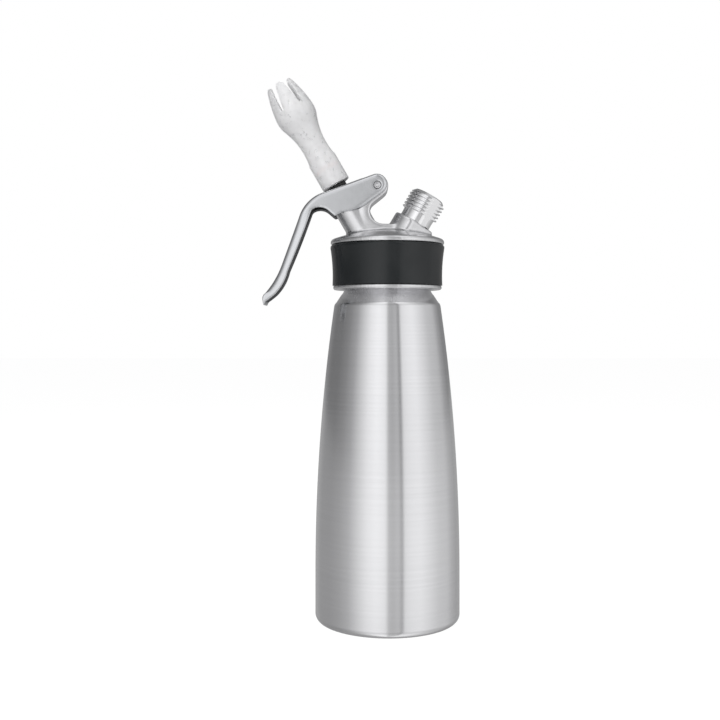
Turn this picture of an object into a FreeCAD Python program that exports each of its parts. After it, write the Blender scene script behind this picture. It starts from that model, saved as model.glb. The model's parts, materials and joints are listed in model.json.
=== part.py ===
"""Whipped cream dispenser: steel bottle, screw-on lever head, valve, tulip nozzle and charger port.

Frame: origin at the middle of the bottle's foot, +Z up along the bottle, +X towards the charger
port, lever on the -X side.  The valve and the port lean away from each other, and their pieces
are drawn upright, as distances along their own axis, and then leaned over as a whole.
"""
import FreeCAD, Part
import math
import os
import re
import Sketcher

# alias, value in millimetres or degrees, what it is
SIZE_ROWS = [
    ("bottle_radius", 46.0, "outside radius of the bottle at its foot"),
    ("bottle_wall", 1.2, "sheet thickness of the bottle"),
    ("foot_round", 5.0, "outside rounding at the foot"),
    ("foot_groove_radius", 35.0, "outer radius of the groove pressed into the floor"),
    ("foot_groove_width", 4.0, "width of that groove"),
    ("foot_groove_depth", 0.8, "depth of that groove"),
    ("straight_height", 31.5, "top of the upright part of the flank"),
    ("flank_radius", 1190.0, "radius of the long curve of the flank"),
    ("shoulder_height", 200.0, "where the flank meets the shoulder"),
    ("shoulder_round", 4.0, "rounding between flank and shoulder cone"),
    ("neck_radius", 26.5, "outside radius of the neck"),
    ("shoulder_rise", 10.0, "height of the shoulder cone between flank and neck"),
    ("neck_length", 22.0, "length of the neck"),
    ("neck_wall", 2.2, "thickness of the neck"),
    ("neck_pitch", 4.0, "pitch of the neck thread"),
    ("neck_thread_depth", 1.6, "height of the neck thread's ridge"),
    ("neck_thread_start", 7.0, "start of the neck thread above the neck's foot"),
    ("neck_thread_length", 12.0, "length of the neck thread"),
    ("head_gap", 0.4, "room between neck thread and skirt"),
    ("lip_gap", 0.5, "height of the head's lip above the neck's foot"),
    ("rim_radius", 36.3, "outside radius of the rim over the band"),
    ("lip_step", 1.6, "how far the lip under the band stands in from the rim"),
    ("lip_height", 2.9, "height of the lip"),
    ("skirt_step", 3.0, "how far the skirt under the band stands in from the rim"),
    ("band_height", 25.9, "height of the grip band"),
    ("band_taper", 1.2, "how far the band's foot stands in from the rim"),
    ("band_proud", 0.1, "how far the band's top stands out from the rim"),
    ("band_hollow", 115.0, "radius of the band's hollow flank"),
    ("band_round", 1.2, "rounding of the band's top edge"),
    ("rim_height", 2.2, "height of the rim's upright face"),
    ("dome_rise", 7.8, "height of the dome over the rim"),
    ("dome_radius", 116.0, "radius of the dome"),
    ("gasket_height", 2.5, "thickness of the head gasket"),
    ("plate_step", 1.5, "height of the ceiling over the gasket seat"),
    ("piece_gap", 0.05, "running room between pieces that fit into each other"),
    ("lean", 30.0, "lean of the valve axis and of the port axis"),
    ("valve_rise", 11.4, "where the valve axis crosses the bottle axis, over the neck's foot"),
    ("port_rise", 14.0, "where the port axis crosses the bottle axis, over the neck's foot"),
    ("valve_boss_radius", 10.0, "outside radius of the valve boss"),
    ("valve_boss_start", 7.0, "lower end of the valve boss along its axis"),
    ("valve_boss_end", 50.0, "upper end of the valve boss along its axis"),
    ("valve_bore", 6.6, "radius of the bore for spring and bush"),
    ("valve_throat", 6.0, "radius of the bore under the bush"),
    ("bush_seat", 12.3, "shoulder that the valve seat bush stands on"),
    ("bush_length", 7.7, "length of the valve seat bush"),
    ("bush_hole", 3.6, "radius of the hole through the bush"),
    ("seal_seat", 44.3, "shoulder under the stem seal ring"),
    ("seal_radius", 7.0, "radius of the stem seal's counterbore"),
    ("gland_seat", 46.0, "shoulder under the gland nut"),
    ("gland_radius", 8.5, "radius of the gland nut's counterbore"),
    ("stem_radius", 3.0, "radius of the valve stem"),
    ("stem_channel", 1.8, "radius of the cream channel in the stem"),
    ("stem_start", 7.6, "lower end of the stem"),
    ("cross_hole", 24.0, "where the cross hole enters the stem"),
    ("cross_hole_radius", 1.2, "radius of the cross hole"),
    ("flange_top", 57.9, "top of the stem's flange, under the lever's web"),
    ("flange_height", 2.4, "thickness of the stem's flange"),
    ("flange_radius", 7.5, "radius of the stem's flange"),
    ("stem_neck", 4.0, "radius of the stem between flange and thread"),
    ("spigot_start", 65.0, "start of the stem's threaded end"),
    ("spigot_length", 11.0, "length of the stem's threaded end"),
    ("spigot_radius", 5.5, "radius of the stem's threaded end"),
    ("valve_travel", 3.0, "how far the lever presses the valve stem"),
    ("poppet_radius", 5.3, "radius of the poppet"),
    ("poppet_height", 2.1, "height of the poppet"),
    ("poppet_seal_height", 1.9, "thickness of the poppet's seal"),
    ("valve_spring_wire", 0.5, "wire radius of the valve spring"),
    ("valve_spring_radius", 4.9, "middle radius of the valve spring"),
    ("valve_spring_turns", 7.0, "turns of the valve spring"),
    ("collar_height", 2.2, "height of the spring collar on the stem"),
    ("collar_radius", 5.9, "radius of the spring collar"),
    ("collar_start", 41.3, "lower face of the spring collar"),
    ("port_boss_radius", 13.4, "outside radius of the port boss"),
    ("port_boss_end", 34.7, "upper end of the port boss along its axis"),
    ("port_socket", 8.8, "radius of the socket in the port boss"),
    ("port_socket_end", 25.5, "bottom of the socket in the port boss"),
    ("port_seal_height", 1.5, "thickness of the port's seal"),
    ("port_neck_radius", 10.2, "radius of the port under its thread"),
    ("port_neck_height", 4.8, "height of the port's plain neck"),
    ("port_thread_radius", 12.0, "outside radius of the charger holder thread"),
    ("port_thread_depth", 1.7, "depth of the charger holder thread"),
    ("port_thread_length", 14.4, "length of the charger holder thread"),
    ("port_pitch", 2.3, "pitch of the charger holder thread"),
    ("port_mouth", 8.0, "radius of the port's open mouth"),
    ("port_mouth_depth", 5.4, "depth of the port's open mouth"),
    ("charger_bore", 4.75, "radius of the bore that takes a charger's neck"),
    ("charger_bore_length", 10.0, "depth of that bore over the charger seal"),
    ("charger_land", 5.0, "length of the bore's close-fitting land"),
    ("charger_relief", 0.35, "how much wider the bore is around the needle"),
    ("holder_pocket", 6.5, "radius of the pocket for pin, seal and filter"),
    ("flat_distance", 10.0, "distance of the milled flat from the port axis"),
    ("flat_turn", 35.0, "turn of the milled flat from the front towards the right"),
    ("flat_start", 27.0, "lower end of the milled flat along the port axis"),
    ("charger_seal_height", 2.4, "thickness of the charger seal"),
    ("pin_plate_height", 4.8, "thickness of the piercing pin's plate"),
    ("needle_length", 7.0, "how far the needle stands over its plate"),
    ("needle_radius", 1.0, "radius of the needle"),
    ("filter_height", 1.8, "thickness of the gas filter"),
    ("gas_channel", 1.2, "radius of the gas channel over the check ball"),
    ("check_chamber", 2.6, "radius of the check valve's chamber"),
    ("check_seat", 23.3, "upper end of the check valve's chamber"),
    ("check_ball_radius", 2.0, "radius of the check ball"),
    ("check_travel", 1.0, "how far the check ball opens"),
    ("retainer_start", 14.2, "lower face of the check retainer"),
    ("retainer_height", 1.4, "height of the check retainer"),
    ("check_wire", 0.35, "wire radius of the check spring"),
    ("check_turns", 1.5, "turns of the check spring"),
    ("pivot_x", -6.6, "lever pivot beside the bottle axis"),
    ("pivot_rise", 66.3, "lever pivot over the neck's foot"),
    ("ear_radius", 7.1, "rounding of the ear around the pivot"),
    ("ear_half_width", 9.9, "half the width of the ear and bridge"),
    ("scoop_x", -2.8, "middle of the round scoop beside the ear"),
    ("scoop_drop", 15.7, "middle of the round scoop under the pivot"),
    ("scoop_radius", 8.3, "radius of the round scoop"),
    ("pin_radius", 2.2, "radius of the lever pin"),
    ("pin_proud", 0.25, "how far the pin stands proud of the lever"),
    ("lever_width", 24.4, "outside width of the lever"),
    ("lever_sheet", 2.0, "sheet thickness of the lever"),
    ("lever_bend", 2.6, "outside rounding of the lever's long edges"),
    ("lever_play", 0.1, "room between lever and pin"),
    ("lever_eye", 6.8, "rounding of the lever around the pivot"),
    ("lever_hole", 6.0, "radius of the hole that the stem passes"),
    ("fork_end", -16.0, "where the lever's web ends and its fork begins"),
    ("knee_x", -43.0, "where the lever's top line runs into its knee"),
    ("knee_drop", 5.2, "depth of that point under the pivot"),
    ("knee_round", 24.0, "outside radius of the knee"),
    ("grip_x", -67.2, "where the handle starts to flare"),
    ("grip_drop", 50.6, "depth of that point under the pivot"),
    ("toe_x", -77.2, "tip of the handle"),
    ("toe_drop", 75.7, "depth of the tip under the pivot"),
    ("cheek_x", -33.6, "lowest corner of the lever's cheek"),
    ("cheek_drop", 19.4, "depth of that corner under the pivot"),
    ("nozzle_start", 65.1, "lower end of the nozzle along the valve axis"),
    ("nozzle_radius", 9.3, "radius of the nozzle's collar"),
    ("nozzle_collar", 18.5, "height of the nozzle's collar"),
    ("nozzle_waist_round", 46.8, "hollow radius of the nozzle's waist"),
    ("nozzle_bulge_start", 44.9, "where the nozzle's bulge starts over its lower end"),
    ("nozzle_bulge", 13.05, "largest radius of the nozzle"),
    ("nozzle_bulge_at", 52.4, "where the nozzle is widest over its lower end"),
    ("nozzle_length", 73.6, "length of the nozzle"),
    ("nozzle_mouth", 8.7, "outside radius of the nozzle at its mouth"),
    ("nozzle_wall", 1.5, "wall of the nozzle's tulip"),
    ("nozzle_throat", 3.5, "radius of the nozzle's throat"),
    ("petals", 6, "number of petals"),
    ("petal_slot", 2.4, "width of the slots between petals at their foot"),
    ("petal_slot_mouth", 4.4, "width of the slots at the nozzle's mouth"),
    ("petal_turn", 30.0, "turn of the first slot from the right towards the front"),
    ("petal_slot_start", 55.8, "lower end of the slots over the nozzle's lower end"),
    ("insert_radius", 7.2, "outside radius of the threaded insert"),
    ("insert_step", 0.9, "height of the nozzle's lip under the insert"),
    ("insert_length", 10.2, "length of the threaded insert"),
    ("washer_height", 1.6, "thickness of the nozzle washer"),
]
# alias, formula of other sizes, what it is
FOLLOWING_ROWS = [
    ("neck_foot", "=shoulder_height + shoulder_rise", "where the shoulder cone meets the neck"),
    ("lip_radius", "=rim_radius - lip_step", "outside radius of the lip under the grip band"),
    ("skirt_radius", "=rim_radius - skirt_step", "outside radius of the skirt under the grip band"),
    ("band_low_radius", "=rim_radius - band_taper", "outside radius of the band at its foot"),
    ("band_high_radius", "=rim_radius + band_proud", "outside radius of the band near its top"),
    ("valve_foot", "=neck_foot + valve_rise", "height where the valve axis crosses the bottle axis"),
    ("port_foot", "=neck_foot + port_rise", "height where the port axis crosses the bottle axis"),
    ("pivot_z", "=neck_foot + pivot_rise", "height of the lever pivot"),
    ("scoop_z", "=pivot_z - scoop_drop", "middle height of the round scoop"),
    ("knee_z", "=pivot_z - knee_drop", "height of the knee's upper end"),
    ("grip_z", "=pivot_z - grip_drop", "height where the handle starts to flare"),
    ("toe_z", "=pivot_z - toe_drop", "height of the handle's tip"),
    ("cheek_z", "=pivot_z - cheek_drop", "height of the cheek's lowest corner"),
]
SIZE_NAMES = {row[0] for row in SIZE_ROWS + FOLLOWING_ROWS}
TOLERANCE = 1e-6

doc = FreeCAD.newDocument("cream_dispenser")
sheet = doc.addObject("Spreadsheet::Sheet", "Sizes")
for number, (alias, value, meaning) in enumerate(SIZE_ROWS + FOLLOWING_ROWS, 1):
    sheet.set(f"A{number}", alias)
    sheet.set(f"B{number}", str(value))
    sheet.set(f"C{number}", meaning)
    sheet.setAlias(f"B{number}", alias)
doc.recompute()

parts = {}


def tie(text):
    """Point every size name in an expression at the sheet."""
    def sheet_name(match):
        word = match.group()
        return f"Sizes.{word}" if word in SIZE_NAMES else word
    return re.sub(r"[A-Za-z_][A-Za-z_0-9]*", sheet_name, str(text))


def size(text):
    """Return the present value of an expression of sizes."""
    return float(sheet.evalExpression(tie(text)))


def origin_plane(body, role):
    """Return one of a body's own origin planes."""
    return next(plane for plane in body.Origin.OriginFeatures if plane.Role == role)


def line(x, y):
    """Step of an outline: a straight line to a point."""
    return (x, y, None, None)


def arc(x, y, radius, turn):
    """Step of an outline: an arc of under half a circle to a point, turning left or right."""
    return (x, y, radius, turn)


def arc_between(first, last, radius, turn):
    """Return the sketch arc from one point to another and whether it runs backwards."""
    run = last - first
    half = run.Length / 2
    left = FreeCAD.Vector(-run.y, run.x, 0).normalize()
    offset = math.sqrt(max(radius * radius - half * half, 0))
    side = 1 if turn == "left" else -1
    centre = (first + last) / 2 + left * (offset * side)
    start, end = (first, last) if turn == "left" else (last, first)
    angles = [math.atan2(point.y - centre.y, point.x - centre.x) for point in (start, end)]
    circle = Part.Circle(centre, FreeCAD.Vector(0, 0, 1), radius)
    return Part.ArcOfCircle(circle, angles[0], angles[1]), turn != "left"


def draw(body, name, role, start, steps):
    """Sketch a closed outline on an origin plane with every corner tied to the sheet."""
    sketch = body.newObject("Sketcher::SketchObject", name)
    sketch.AttachmentSupport = (origin_plane(body, role), [""])
    sketch.MapMode = "FlatFace"
    corners = [start] + [step[:2] for step in steps]
    places = [FreeCAD.Vector(size(x), size(y), 0) for x, y in corners]
    kinds = [step[2:] for step in steps]
    if (places[0] - places[-1]).Length < TOLERANCE:
        corners.pop()
        places.pop()
    else:
        kinds.append((None, None))
    count = len(corners)
    geometry = []
    ends = []
    for index, (radius, turn) in enumerate(kinds):
        first, last = places[index], places[(index + 1) % count]
        if radius is None:
            geometry.append(Part.LineSegment(first, last))
            ends.append((1, 2))
        else:
            curve, backwards = arc_between(first, last, size(radius), turn)
            geometry.append(curve)
            ends.append((2, 1) if backwards else (1, 2))
    sketch.addGeometry(geometry, False)
    for index in range(count):
        after = (index + 1) % count
        sketch.addConstraint(
            Sketcher.Constraint("Coincident", index, ends[index][1], after, ends[after][0])
        )
    for index, (place, corner) in enumerate(zip(places, corners)):
        where = ends[index][0]
        for kind, axis, number, text in (
            ("DistanceX", -2, place.x, corner[0]),
            ("DistanceY", -1, place.y, corner[1]),
        ):
            if text == "0":
                sketch.addConstraint(Sketcher.Constraint("PointOnObject", index, where, axis))
                continue
            added = sketch.addConstraint(Sketcher.Constraint(kind, -1, 1, index, where, number))
            sketch.setExpression(f"Constraints[{added}]", tie(text))
    for index, (radius, turn) in enumerate(kinds):
        if radius is not None:
            added = sketch.addConstraint(Sketcher.Constraint("Radius", index, size(radius)))
            sketch.setExpression(f"Constraints[{added}]", tie(radius))
    return sketch


def lean_over(item, side, start="0"):
    """Lean an upright piece onto the valve axis or the port axis, a distance along it."""
    sign = -1 if side == "valve" else 1
    item.Placement = FreeCAD.Placement(
        FreeCAD.Vector(0, 0, size(f"{side}_foot")),
        FreeCAD.Rotation(FreeCAD.Vector(0, 1, 0), sign * size("lean")),
    )
    if start != "0":
        item.setExpression("Placement.Base.x", tie(f"{sign} * ({start}) * sin(lean)"))
    item.setExpression("Placement.Base.z", tie(f"{side}_foot + ({start}) * cos(lean)"))
    item.setExpression("Placement.Rotation.Angle", tie(f"{sign} * lean"))


def turned(name, start, steps, side=None):
    """Make a body by turning an outline of radius and height about its axis."""
    body = doc.addObject("PartDesign::Body", name)
    sketch = draw(body, f"{name}_outline", "XZ_Plane", start, steps)
    turn = body.newObject("PartDesign::Revolution", f"{name}_turned")
    turn.Profile = sketch
    turn.ReferenceAxis = (sketch, ["V_Axis"])
    turn.Angle = 360
    if side:
        lean_over(body, side)
    return body


def ring(name, inner, outer, bottom, top, side=None):
    """Make a plain ring from its two radii and two heights."""
    steps = [line(outer, bottom), line(outer, top), line(inner, top)]
    return turned(name, (inner, bottom), steps, side)


def plate(name, role, start, steps, width):
    """Make a body by padding an outline to both sides of an origin plane."""
    body = doc.addObject("PartDesign::Body", name)
    sketch = draw(body, f"{name}_outline", role, start, steps)
    pad = body.newObject("PartDesign::Pad", f"{name}_pad")
    pad.Profile = sketch
    pad.SideType = "Symmetric"
    pad.setExpression("Length", tie(width))
    return body


def rod(name, radius, bottom, length, side):
    """Make a leaned cylinder from expressions, for adding and for cutting."""
    cylinder = doc.addObject("Part::Cylinder", name)
    cylinder.setExpression("Radius", tie(radius))
    cylinder.setExpression("Height", tie(length))
    lean_over(cylinder, side, bottom)
    return cylinder


def joined(name, items):
    """Fuse several objects into one."""
    if len(items) == 2:
        fuse = doc.addObject("Part::Fuse", name)
        fuse.Base, fuse.Tool = items
    else:
        fuse = doc.addObject("Part::MultiFuse", name)
        fuse.Shapes = items
    fuse.Refine = True
    return fuse


def cut(name, base, tools):
    """Cut one or more tools out of a base."""
    tool = tools[0] if len(tools) == 1 else joined(f"{name}_tools", tools)
    result = doc.addObject("Part::Cut", name)
    result.Base = base
    result.Tool = tool
    return result


def finished(node, item):
    """Give a finished piece the label that names its file."""
    item.Label = node
    parts[node] = item


def thread_ridge(root, crest, pitch, length, foot_width, crest_width):
    """Return one helical ridge that starts at height 0 and rises anticlockwise."""
    sink = 0.3 if crest > root else -0.3
    path = Part.makeHelix(pitch, length, root)
    corners = [
        FreeCAD.Vector(root - sink, 0, -foot_width / 2),
        FreeCAD.Vector(crest, 0, -crest_width / 2),
        FreeCAD.Vector(crest, 0, crest_width / 2),
        FreeCAD.Vector(root - sink, 0, foot_width / 2),
    ]
    section = Part.makePolygon(corners + corners[:1])
    ridge = Part.Wire(path).makePipeShell([section], True, True)
    if ridge.Volume < 0:
        ridge.reverse()
    return ridge


def spring_coil(wire, middle, height, turns):
    """Return a coil spring as one unbroken round wire."""
    path = Part.Wire(Part.makeHelix(height / turns, height, middle))
    circle = Part.Circle(FreeCAD.Vector(middle, 0, 0), FreeCAD.Vector(0, 1, 0), wire)
    section = Part.Wire(circle.toShape())
    return path.makePipeShell([section], True, True)


# the head's place over the neck follows from the neck
NECK_TOP = "(neck_foot + neck_length)"
HEAD_FOOT = "(neck_foot + lip_gap)"
BAND_FOOT = f"({HEAD_FOOT} + lip_height)"
BAND_TOP = f"({BAND_FOOT} + band_height)"
SKIRT_BORE = "(neck_radius + neck_thread_depth + head_gap)"
CEILING = f"({NECK_TOP} + gasket_height + plate_step)"
FLANK_DROP = "(flank_radius - sqrt(pow(flank_radius; 2) - pow(shoulder_height - straight_height; 2)))"
SHOULDER_RADIUS = f"(bottle_radius - {FLANK_DROP})"
FLOOR = "(foot_groove_depth + bottle_wall)"


def make_bottle():
    """Deep-drawn bottle with a foot ring, a long curved flank and a threaded neck."""
    cone_top = "neck_foot"
    cone_run = f"({SHOULDER_RADIUS} - neck_radius)"
    inner_shoulder = f"{SHOULDER_RADIUS} - bottle_wall"
    inner_neck = "neck_radius - neck_wall"
    body = turned(
        "bottle_shell",
        ("0", "0"),
        [
            line("foot_groove_radius - foot_groove_width", "0"),
            line("foot_groove_radius - foot_groove_width + foot_groove_depth", "foot_groove_depth"),
            line("foot_groove_radius - foot_groove_depth", "foot_groove_depth"),
            line("foot_groove_radius", "0"),
            line("bottle_radius - foot_round", "0"),
            arc("bottle_radius", "foot_round", "foot_round", "left"),
            line("bottle_radius", "straight_height"),
            arc(SHOULDER_RADIUS, "shoulder_height", "flank_radius", "left"),
            arc(f"{SHOULDER_RADIUS} - 0.2 * {cone_run}",
                f"shoulder_height + 0.27 * ({cone_top} - shoulder_height)", "shoulder_round", "left"),
            line("neck_radius", cone_top),
            line("neck_radius", NECK_TOP),
            line(inner_neck, NECK_TOP),
            line(inner_neck, "neck_foot - 0.5"),
            line(inner_shoulder, "shoulder_height"),
            arc("bottle_radius - bottle_wall", "straight_height", "flank_radius - bottle_wall", "right"),
            line("bottle_radius - bottle_wall", "foot_round + foot_groove_depth"),
            arc("bottle_radius - foot_round", FLOOR, "foot_round - bottle_wall", "right"),
            line("0", FLOOR),
        ],
    )
    doc.recompute()
    ridge = thread_ridge(
        size("neck_radius"),
        size("neck_radius + neck_thread_depth"),
        size("neck_pitch"),
        size("neck_thread_length"),
        size("neck_pitch * 0.45"),
        size("neck_pitch * 0.23"),
    )
    thread = doc.addObject("Part::Feature", "neck_thread")
    thread.Shape = ridge
    thread.Placement.Base = FreeCAD.Vector(0, 0, size("neck_foot + neck_thread_start"))
    finished("bottle", joined("bottle_whole", [body, thread]))


def make_gasket():
    """Flat silicone ring between the neck's rim and the head."""
    finished("head_gasket", ring(
        "gasket_ring", "neck_radius - neck_wall", f"{SKIRT_BORE} - 0.3",
        NECK_TOP, f"{NECK_TOP} + gasket_height",
    ))


def make_casting():
    """Cast head: skirt, rim and dome with valve boss, port boss, bridge and lever ear."""
    rim_top = f"({BAND_TOP} + rim_height)"
    cap = turned(
        "cap_blank",
        (SKIRT_BORE, HEAD_FOOT),
        [
            line("lip_radius - 0.7", HEAD_FOOT),
            arc("lip_radius", f"{HEAD_FOOT} + 0.7", "0.7", "left"),
            line("lip_radius", f"{BAND_FOOT} - 0.5"),
            arc("lip_radius - 0.5", BAND_FOOT, "0.5", "left"),
            line("skirt_radius", BAND_FOOT),
            line("skirt_radius", BAND_TOP),
            line("rim_radius - 0.5", BAND_TOP),
            arc("rim_radius", f"{BAND_TOP} + 0.5", "0.5", "left"),
            line("rim_radius", f"{rim_top} - 0.4"),
            arc("rim_radius - 2.1", f"{rim_top} + 1.6", "2.4", "left"),
            arc("0", f"{rim_top} + dome_rise", "dome_radius", "left"),
            line("0", CEILING),
            line("neck_radius - neck_wall - 0.3", CEILING),
            line("neck_radius - neck_wall - 0.3", f"{NECK_TOP} + gasket_height"),
            line(SKIRT_BORE, f"{NECK_TOP} + gasket_height"),
        ],
    )
    chin_x = "pivot_x + ear_radius * cos(50)"
    chin_z = "pivot_z - ear_radius * sin(50)"
    ear = plate(
        "ear_blank",
        "XZ_Plane",
        (chin_x, chin_z),
        [
            arc("pivot_x + ear_radius * cos(50)", "pivot_z + ear_radius * sin(50)", "ear_radius", "left"),
            arc("pivot_x - ear_radius * cos(30)", "pivot_z + ear_radius * sin(30)", "ear_radius", "left"),
            line("pivot_x - 12.7", "pivot_z - 7.7"),
            line("pivot_x - 5.4", "scoop_z - 18.4"),
            line("scoop_x + 10.8", "scoop_z - 16.6"),
            line("scoop_x + 10.8", "scoop_z - scoop_radius"),
            line("scoop_x", "scoop_z - scoop_radius"),
            arc("scoop_x - scoop_radius * cos(27)", "scoop_z + scoop_radius * sin(27)",
                "scoop_radius", "right"),
        ],
        "2 * ear_half_width",
    )
    port_boss = rod("port_boss", "port_boss_radius", "port_socket_end - 5.5",
                    "port_boss_end - port_socket_end + 5.5", "port")
    flat = doc.addObject("Part::Box", "port_flat")
    size_flat(flat, FreeCAD.Placement(
        FreeCAD.Vector(0, 0, size("port_foot")),
        FreeCAD.Rotation(FreeCAD.Vector(0, 1, 0), size("lean")),
    ))
    outside = joined("casting_outside", [cap, ear, cut("port_boss_milled", port_boss, [flat])])
    room = turned(
        "casting_room",
        ("0", HEAD_FOOT),
        [
            line(SKIRT_BORE, HEAD_FOOT),
            line(SKIRT_BORE, f"{NECK_TOP} + gasket_height"),
            line("neck_radius - neck_wall - 0.3", f"{NECK_TOP} + gasket_height"),
            line("neck_radius - neck_wall - 0.3", CEILING),
            line("0", CEILING),
        ],
    )
    hollowed = cut("casting_hollowed", outside, [room])
    valve_boss = rod("valve_boss", "valve_boss_radius", "valve_boss_start",
                     "valve_boss_end - valve_boss_start", "valve")
    solid = joined("casting_solid", [hollowed, valve_boss])
    drills = [
        rod("valve_throat_drill", "valve_throat", "valve_boss_start - 1", "valve_boss_end", "valve"),
        rod("valve_bore_drill", "valve_bore", "bush_seat", "valve_boss_end", "valve"),
        rod("stem_seal_drill", "seal_radius", "seal_seat", "valve_boss_end", "valve"),
        rod("gland_drill", "gland_radius", "gland_seat", "valve_boss_end", "valve"),
        rod("port_socket_drill", "port_socket", "port_socket_end", "port_boss_end", "port"),
        rod("gas_channel_drill", "gas_channel", "check_seat - 1", "port_boss_end - check_seat", "port"),
        rod("check_drill", "check_chamber", "check_seat - 14", "14", "port"),
        pin_rod("ear_drill", "pin_radius + piece_gap / 2", "ear_half_width + 1"),
    ]
    bored = cut("casting_bored", solid, drills)
    doc.recompute()
    start = size("neck_foot + neck_thread_start - neck_pitch / 2")
    ridge = thread_ridge(
        size(SKIRT_BORE),
        size(f"{SKIRT_BORE} - neck_thread_depth"),
        size("neck_pitch"),
        size("neck_thread_length"),
        size("neck_pitch * 0.45"),
        size("neck_pitch * 0.23"),
    )
    thread = doc.addObject("Part::Feature", "skirt_thread")
    thread.Shape = ridge
    thread.Placement.Base = FreeCAD.Vector(0, 0, start)
    finished("head_casting", joined("casting_whole", [bored, thread]))


def pin_rod(name, radius, reach):
    """Make a cylinder across the head on the lever's pivot line."""
    cylinder = doc.addObject("Part::Cylinder", name)
    cylinder.setExpression("Radius", tie(radius))
    cylinder.setExpression("Height", tie(f"2 * ({reach})"))
    cylinder.Placement.Rotation = FreeCAD.Rotation(FreeCAD.Vector(1, 0, 0), 90)
    cylinder.setExpression("Placement.Base.x", tie("pivot_x"))
    cylinder.setExpression("Placement.Base.y", tie(reach))
    cylinder.setExpression("Placement.Base.z", tie("pivot_z"))
    return cylinder


def size_flat(box, lean):
    """Size a cutting box and put it beyond the milled flat of the port."""
    box.setExpression("Length", tie("4 * port_boss_radius"))
    box.setExpression("Width", tie("port_boss_radius"))
    box.setExpression("Height", tie("2 * port_boss_end"))
    turn = FreeCAD.Rotation(FreeCAD.Vector(0, 0, 1), size("flat_turn"))
    corner = FreeCAD.Vector(
        -2 * size("port_boss_radius"),
        -size("flat_distance") - size("port_boss_radius"),
        size("flat_start"),
    )
    box.Placement = lean.multiply(FreeCAD.Placement(turn.multVec(corner), turn))


def make_band():
    """Soft grip band around the skirt."""
    inner = "skirt_radius + piece_gap"
    foot = f"({BAND_FOOT} + piece_gap)"
    top = f"({BAND_TOP} - piece_gap)"
    finished("grip_band", turned(
        "band_ring",
        (inner, foot),
        [
            line("band_low_radius", foot),
            arc("band_high_radius", f"{top} - 2", "band_hollow", "right"),
            arc("band_high_radius - band_round", f"{top} + 0", "2", "left"),
            line(inner, top),
        ],
    ))


def make_valve():
    """Stem, poppet, seat bush, spring, collar, seal and gland on the valve axis."""
    bore_gap = "valve_bore - piece_gap"
    stem = turned(
        "stem_turned_body",
        ("stem_channel", "cross_hole - 2"),
        [
            line("stem_channel", "spigot_start + spigot_length"),
            line("spigot_radius - 0.6", "spigot_start + spigot_length"),
            line("spigot_radius", "spigot_start + spigot_length - 0.6"),
            line("spigot_radius", "spigot_start"),
            line("stem_neck", "spigot_start - 1.2"),
            line("stem_neck", "flange_top"),
            line("flange_radius - 0.5", "flange_top"),
            line("flange_radius", "flange_top - 0.5"),
            line("flange_radius", "flange_top - flange_height"),
            line("stem_radius", "flange_top - flange_height"),
            line("stem_radius", "bush_seat - 0.3 - poppet_seal_height"),
            line("stem_radius - 1", "bush_seat - 0.3 - poppet_seal_height"),
            line("stem_radius - 1", "stem_start"),
            line("0", "stem_start"),
            line("0", "cross_hole - 2"),
        ],
        "valve",
    )
    hole = draw_circle(stem, "cross_hole_circle", "0", "cross_hole", "cross_hole_radius")
    drill = stem.newObject("PartDesign::Pocket", "cross_hole_drill")
    drill.Profile = hole
    drill.SideType = "Symmetric"
    drill.setExpression("Length", tie("4 * stem_radius"))
    finished("valve_stem", stem)
    seal_foot = "bush_seat - 0.3 - poppet_seal_height"
    finished("poppet_seal", ring(
        "poppet_seal_ring", "stem_radius + piece_gap", "poppet_radius + 0.1",
        seal_foot, "bush_seat - 0.3", "valve",
    ))
    finished("valve_poppet", turned(
        "poppet_cup",
        ("stem_radius - 1 + piece_gap", f"{seal_foot} - poppet_height"),
        [
            line("poppet_radius - 1", f"{seal_foot} - poppet_height"),
            arc("poppet_radius", f"{seal_foot} - poppet_height + 1", "1", "left"),
            line("poppet_radius", seal_foot),
            line("stem_radius - 1 + piece_gap", seal_foot),
        ],
        "valve",
    ))
    finished("valve_seat_bush", turned(
        "bush_ring",
        ("bush_hole", "bush_seat"),
        [
            line(bore_gap, "bush_seat"),
            line(bore_gap, "bush_seat + bush_length"),
            line("bush_hole + 1", "bush_seat + bush_length"),
            line("bush_hole", "bush_seat + bush_length - 1"),
        ],
        "valve",
    ))
    finished("spring_collar", ring(
        "collar_ring", "stem_radius + piece_gap", "collar_radius",
        "collar_start", "collar_start + collar_height", "valve",
    ))
    finished("stem_seal_ring", turned(
        "stem_seal_body",
        ("stem_radius + piece_gap", "seal_seat"),
        [
            line("seal_radius - piece_gap", "seal_seat"),
            line("seal_radius - piece_gap", "gland_seat - piece_gap"),
            line("stem_radius + piece_gap + 0.5", "gland_seat - piece_gap"),
            line("stem_radius + piece_gap", "gland_seat - piece_gap - 0.5"),
        ],
        "valve",
    ))
    finished("gland_nut", turned(
        "gland_body",
        ("stem_radius + 2 * piece_gap", "gland_seat"),
        [
            line("gland_radius - piece_gap", "gland_seat"),
            line("gland_radius - piece_gap", "valve_boss_end - 0.4"),
            line("gland_radius - piece_gap - 0.4", "valve_boss_end"),
            line("stem_radius + 2 * piece_gap", "valve_boss_end"),
        ],
        "valve",
    ))
    foot = "bush_seat + bush_length + valve_spring_wire + piece_gap"
    top = "collar_start - valve_travel - valve_spring_wire - 0.2"
    spring = doc.addObject("Part::Feature", "valve_spring_coil")
    spring.Shape = spring_coil(
        size("valve_spring_wire"), size("valve_spring_radius"), size(f"{top} - ({foot})"),
        size("valve_spring_turns"),
    )
    lean_over(spring, "valve", foot)
    finished("valve_spring", spring)


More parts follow.
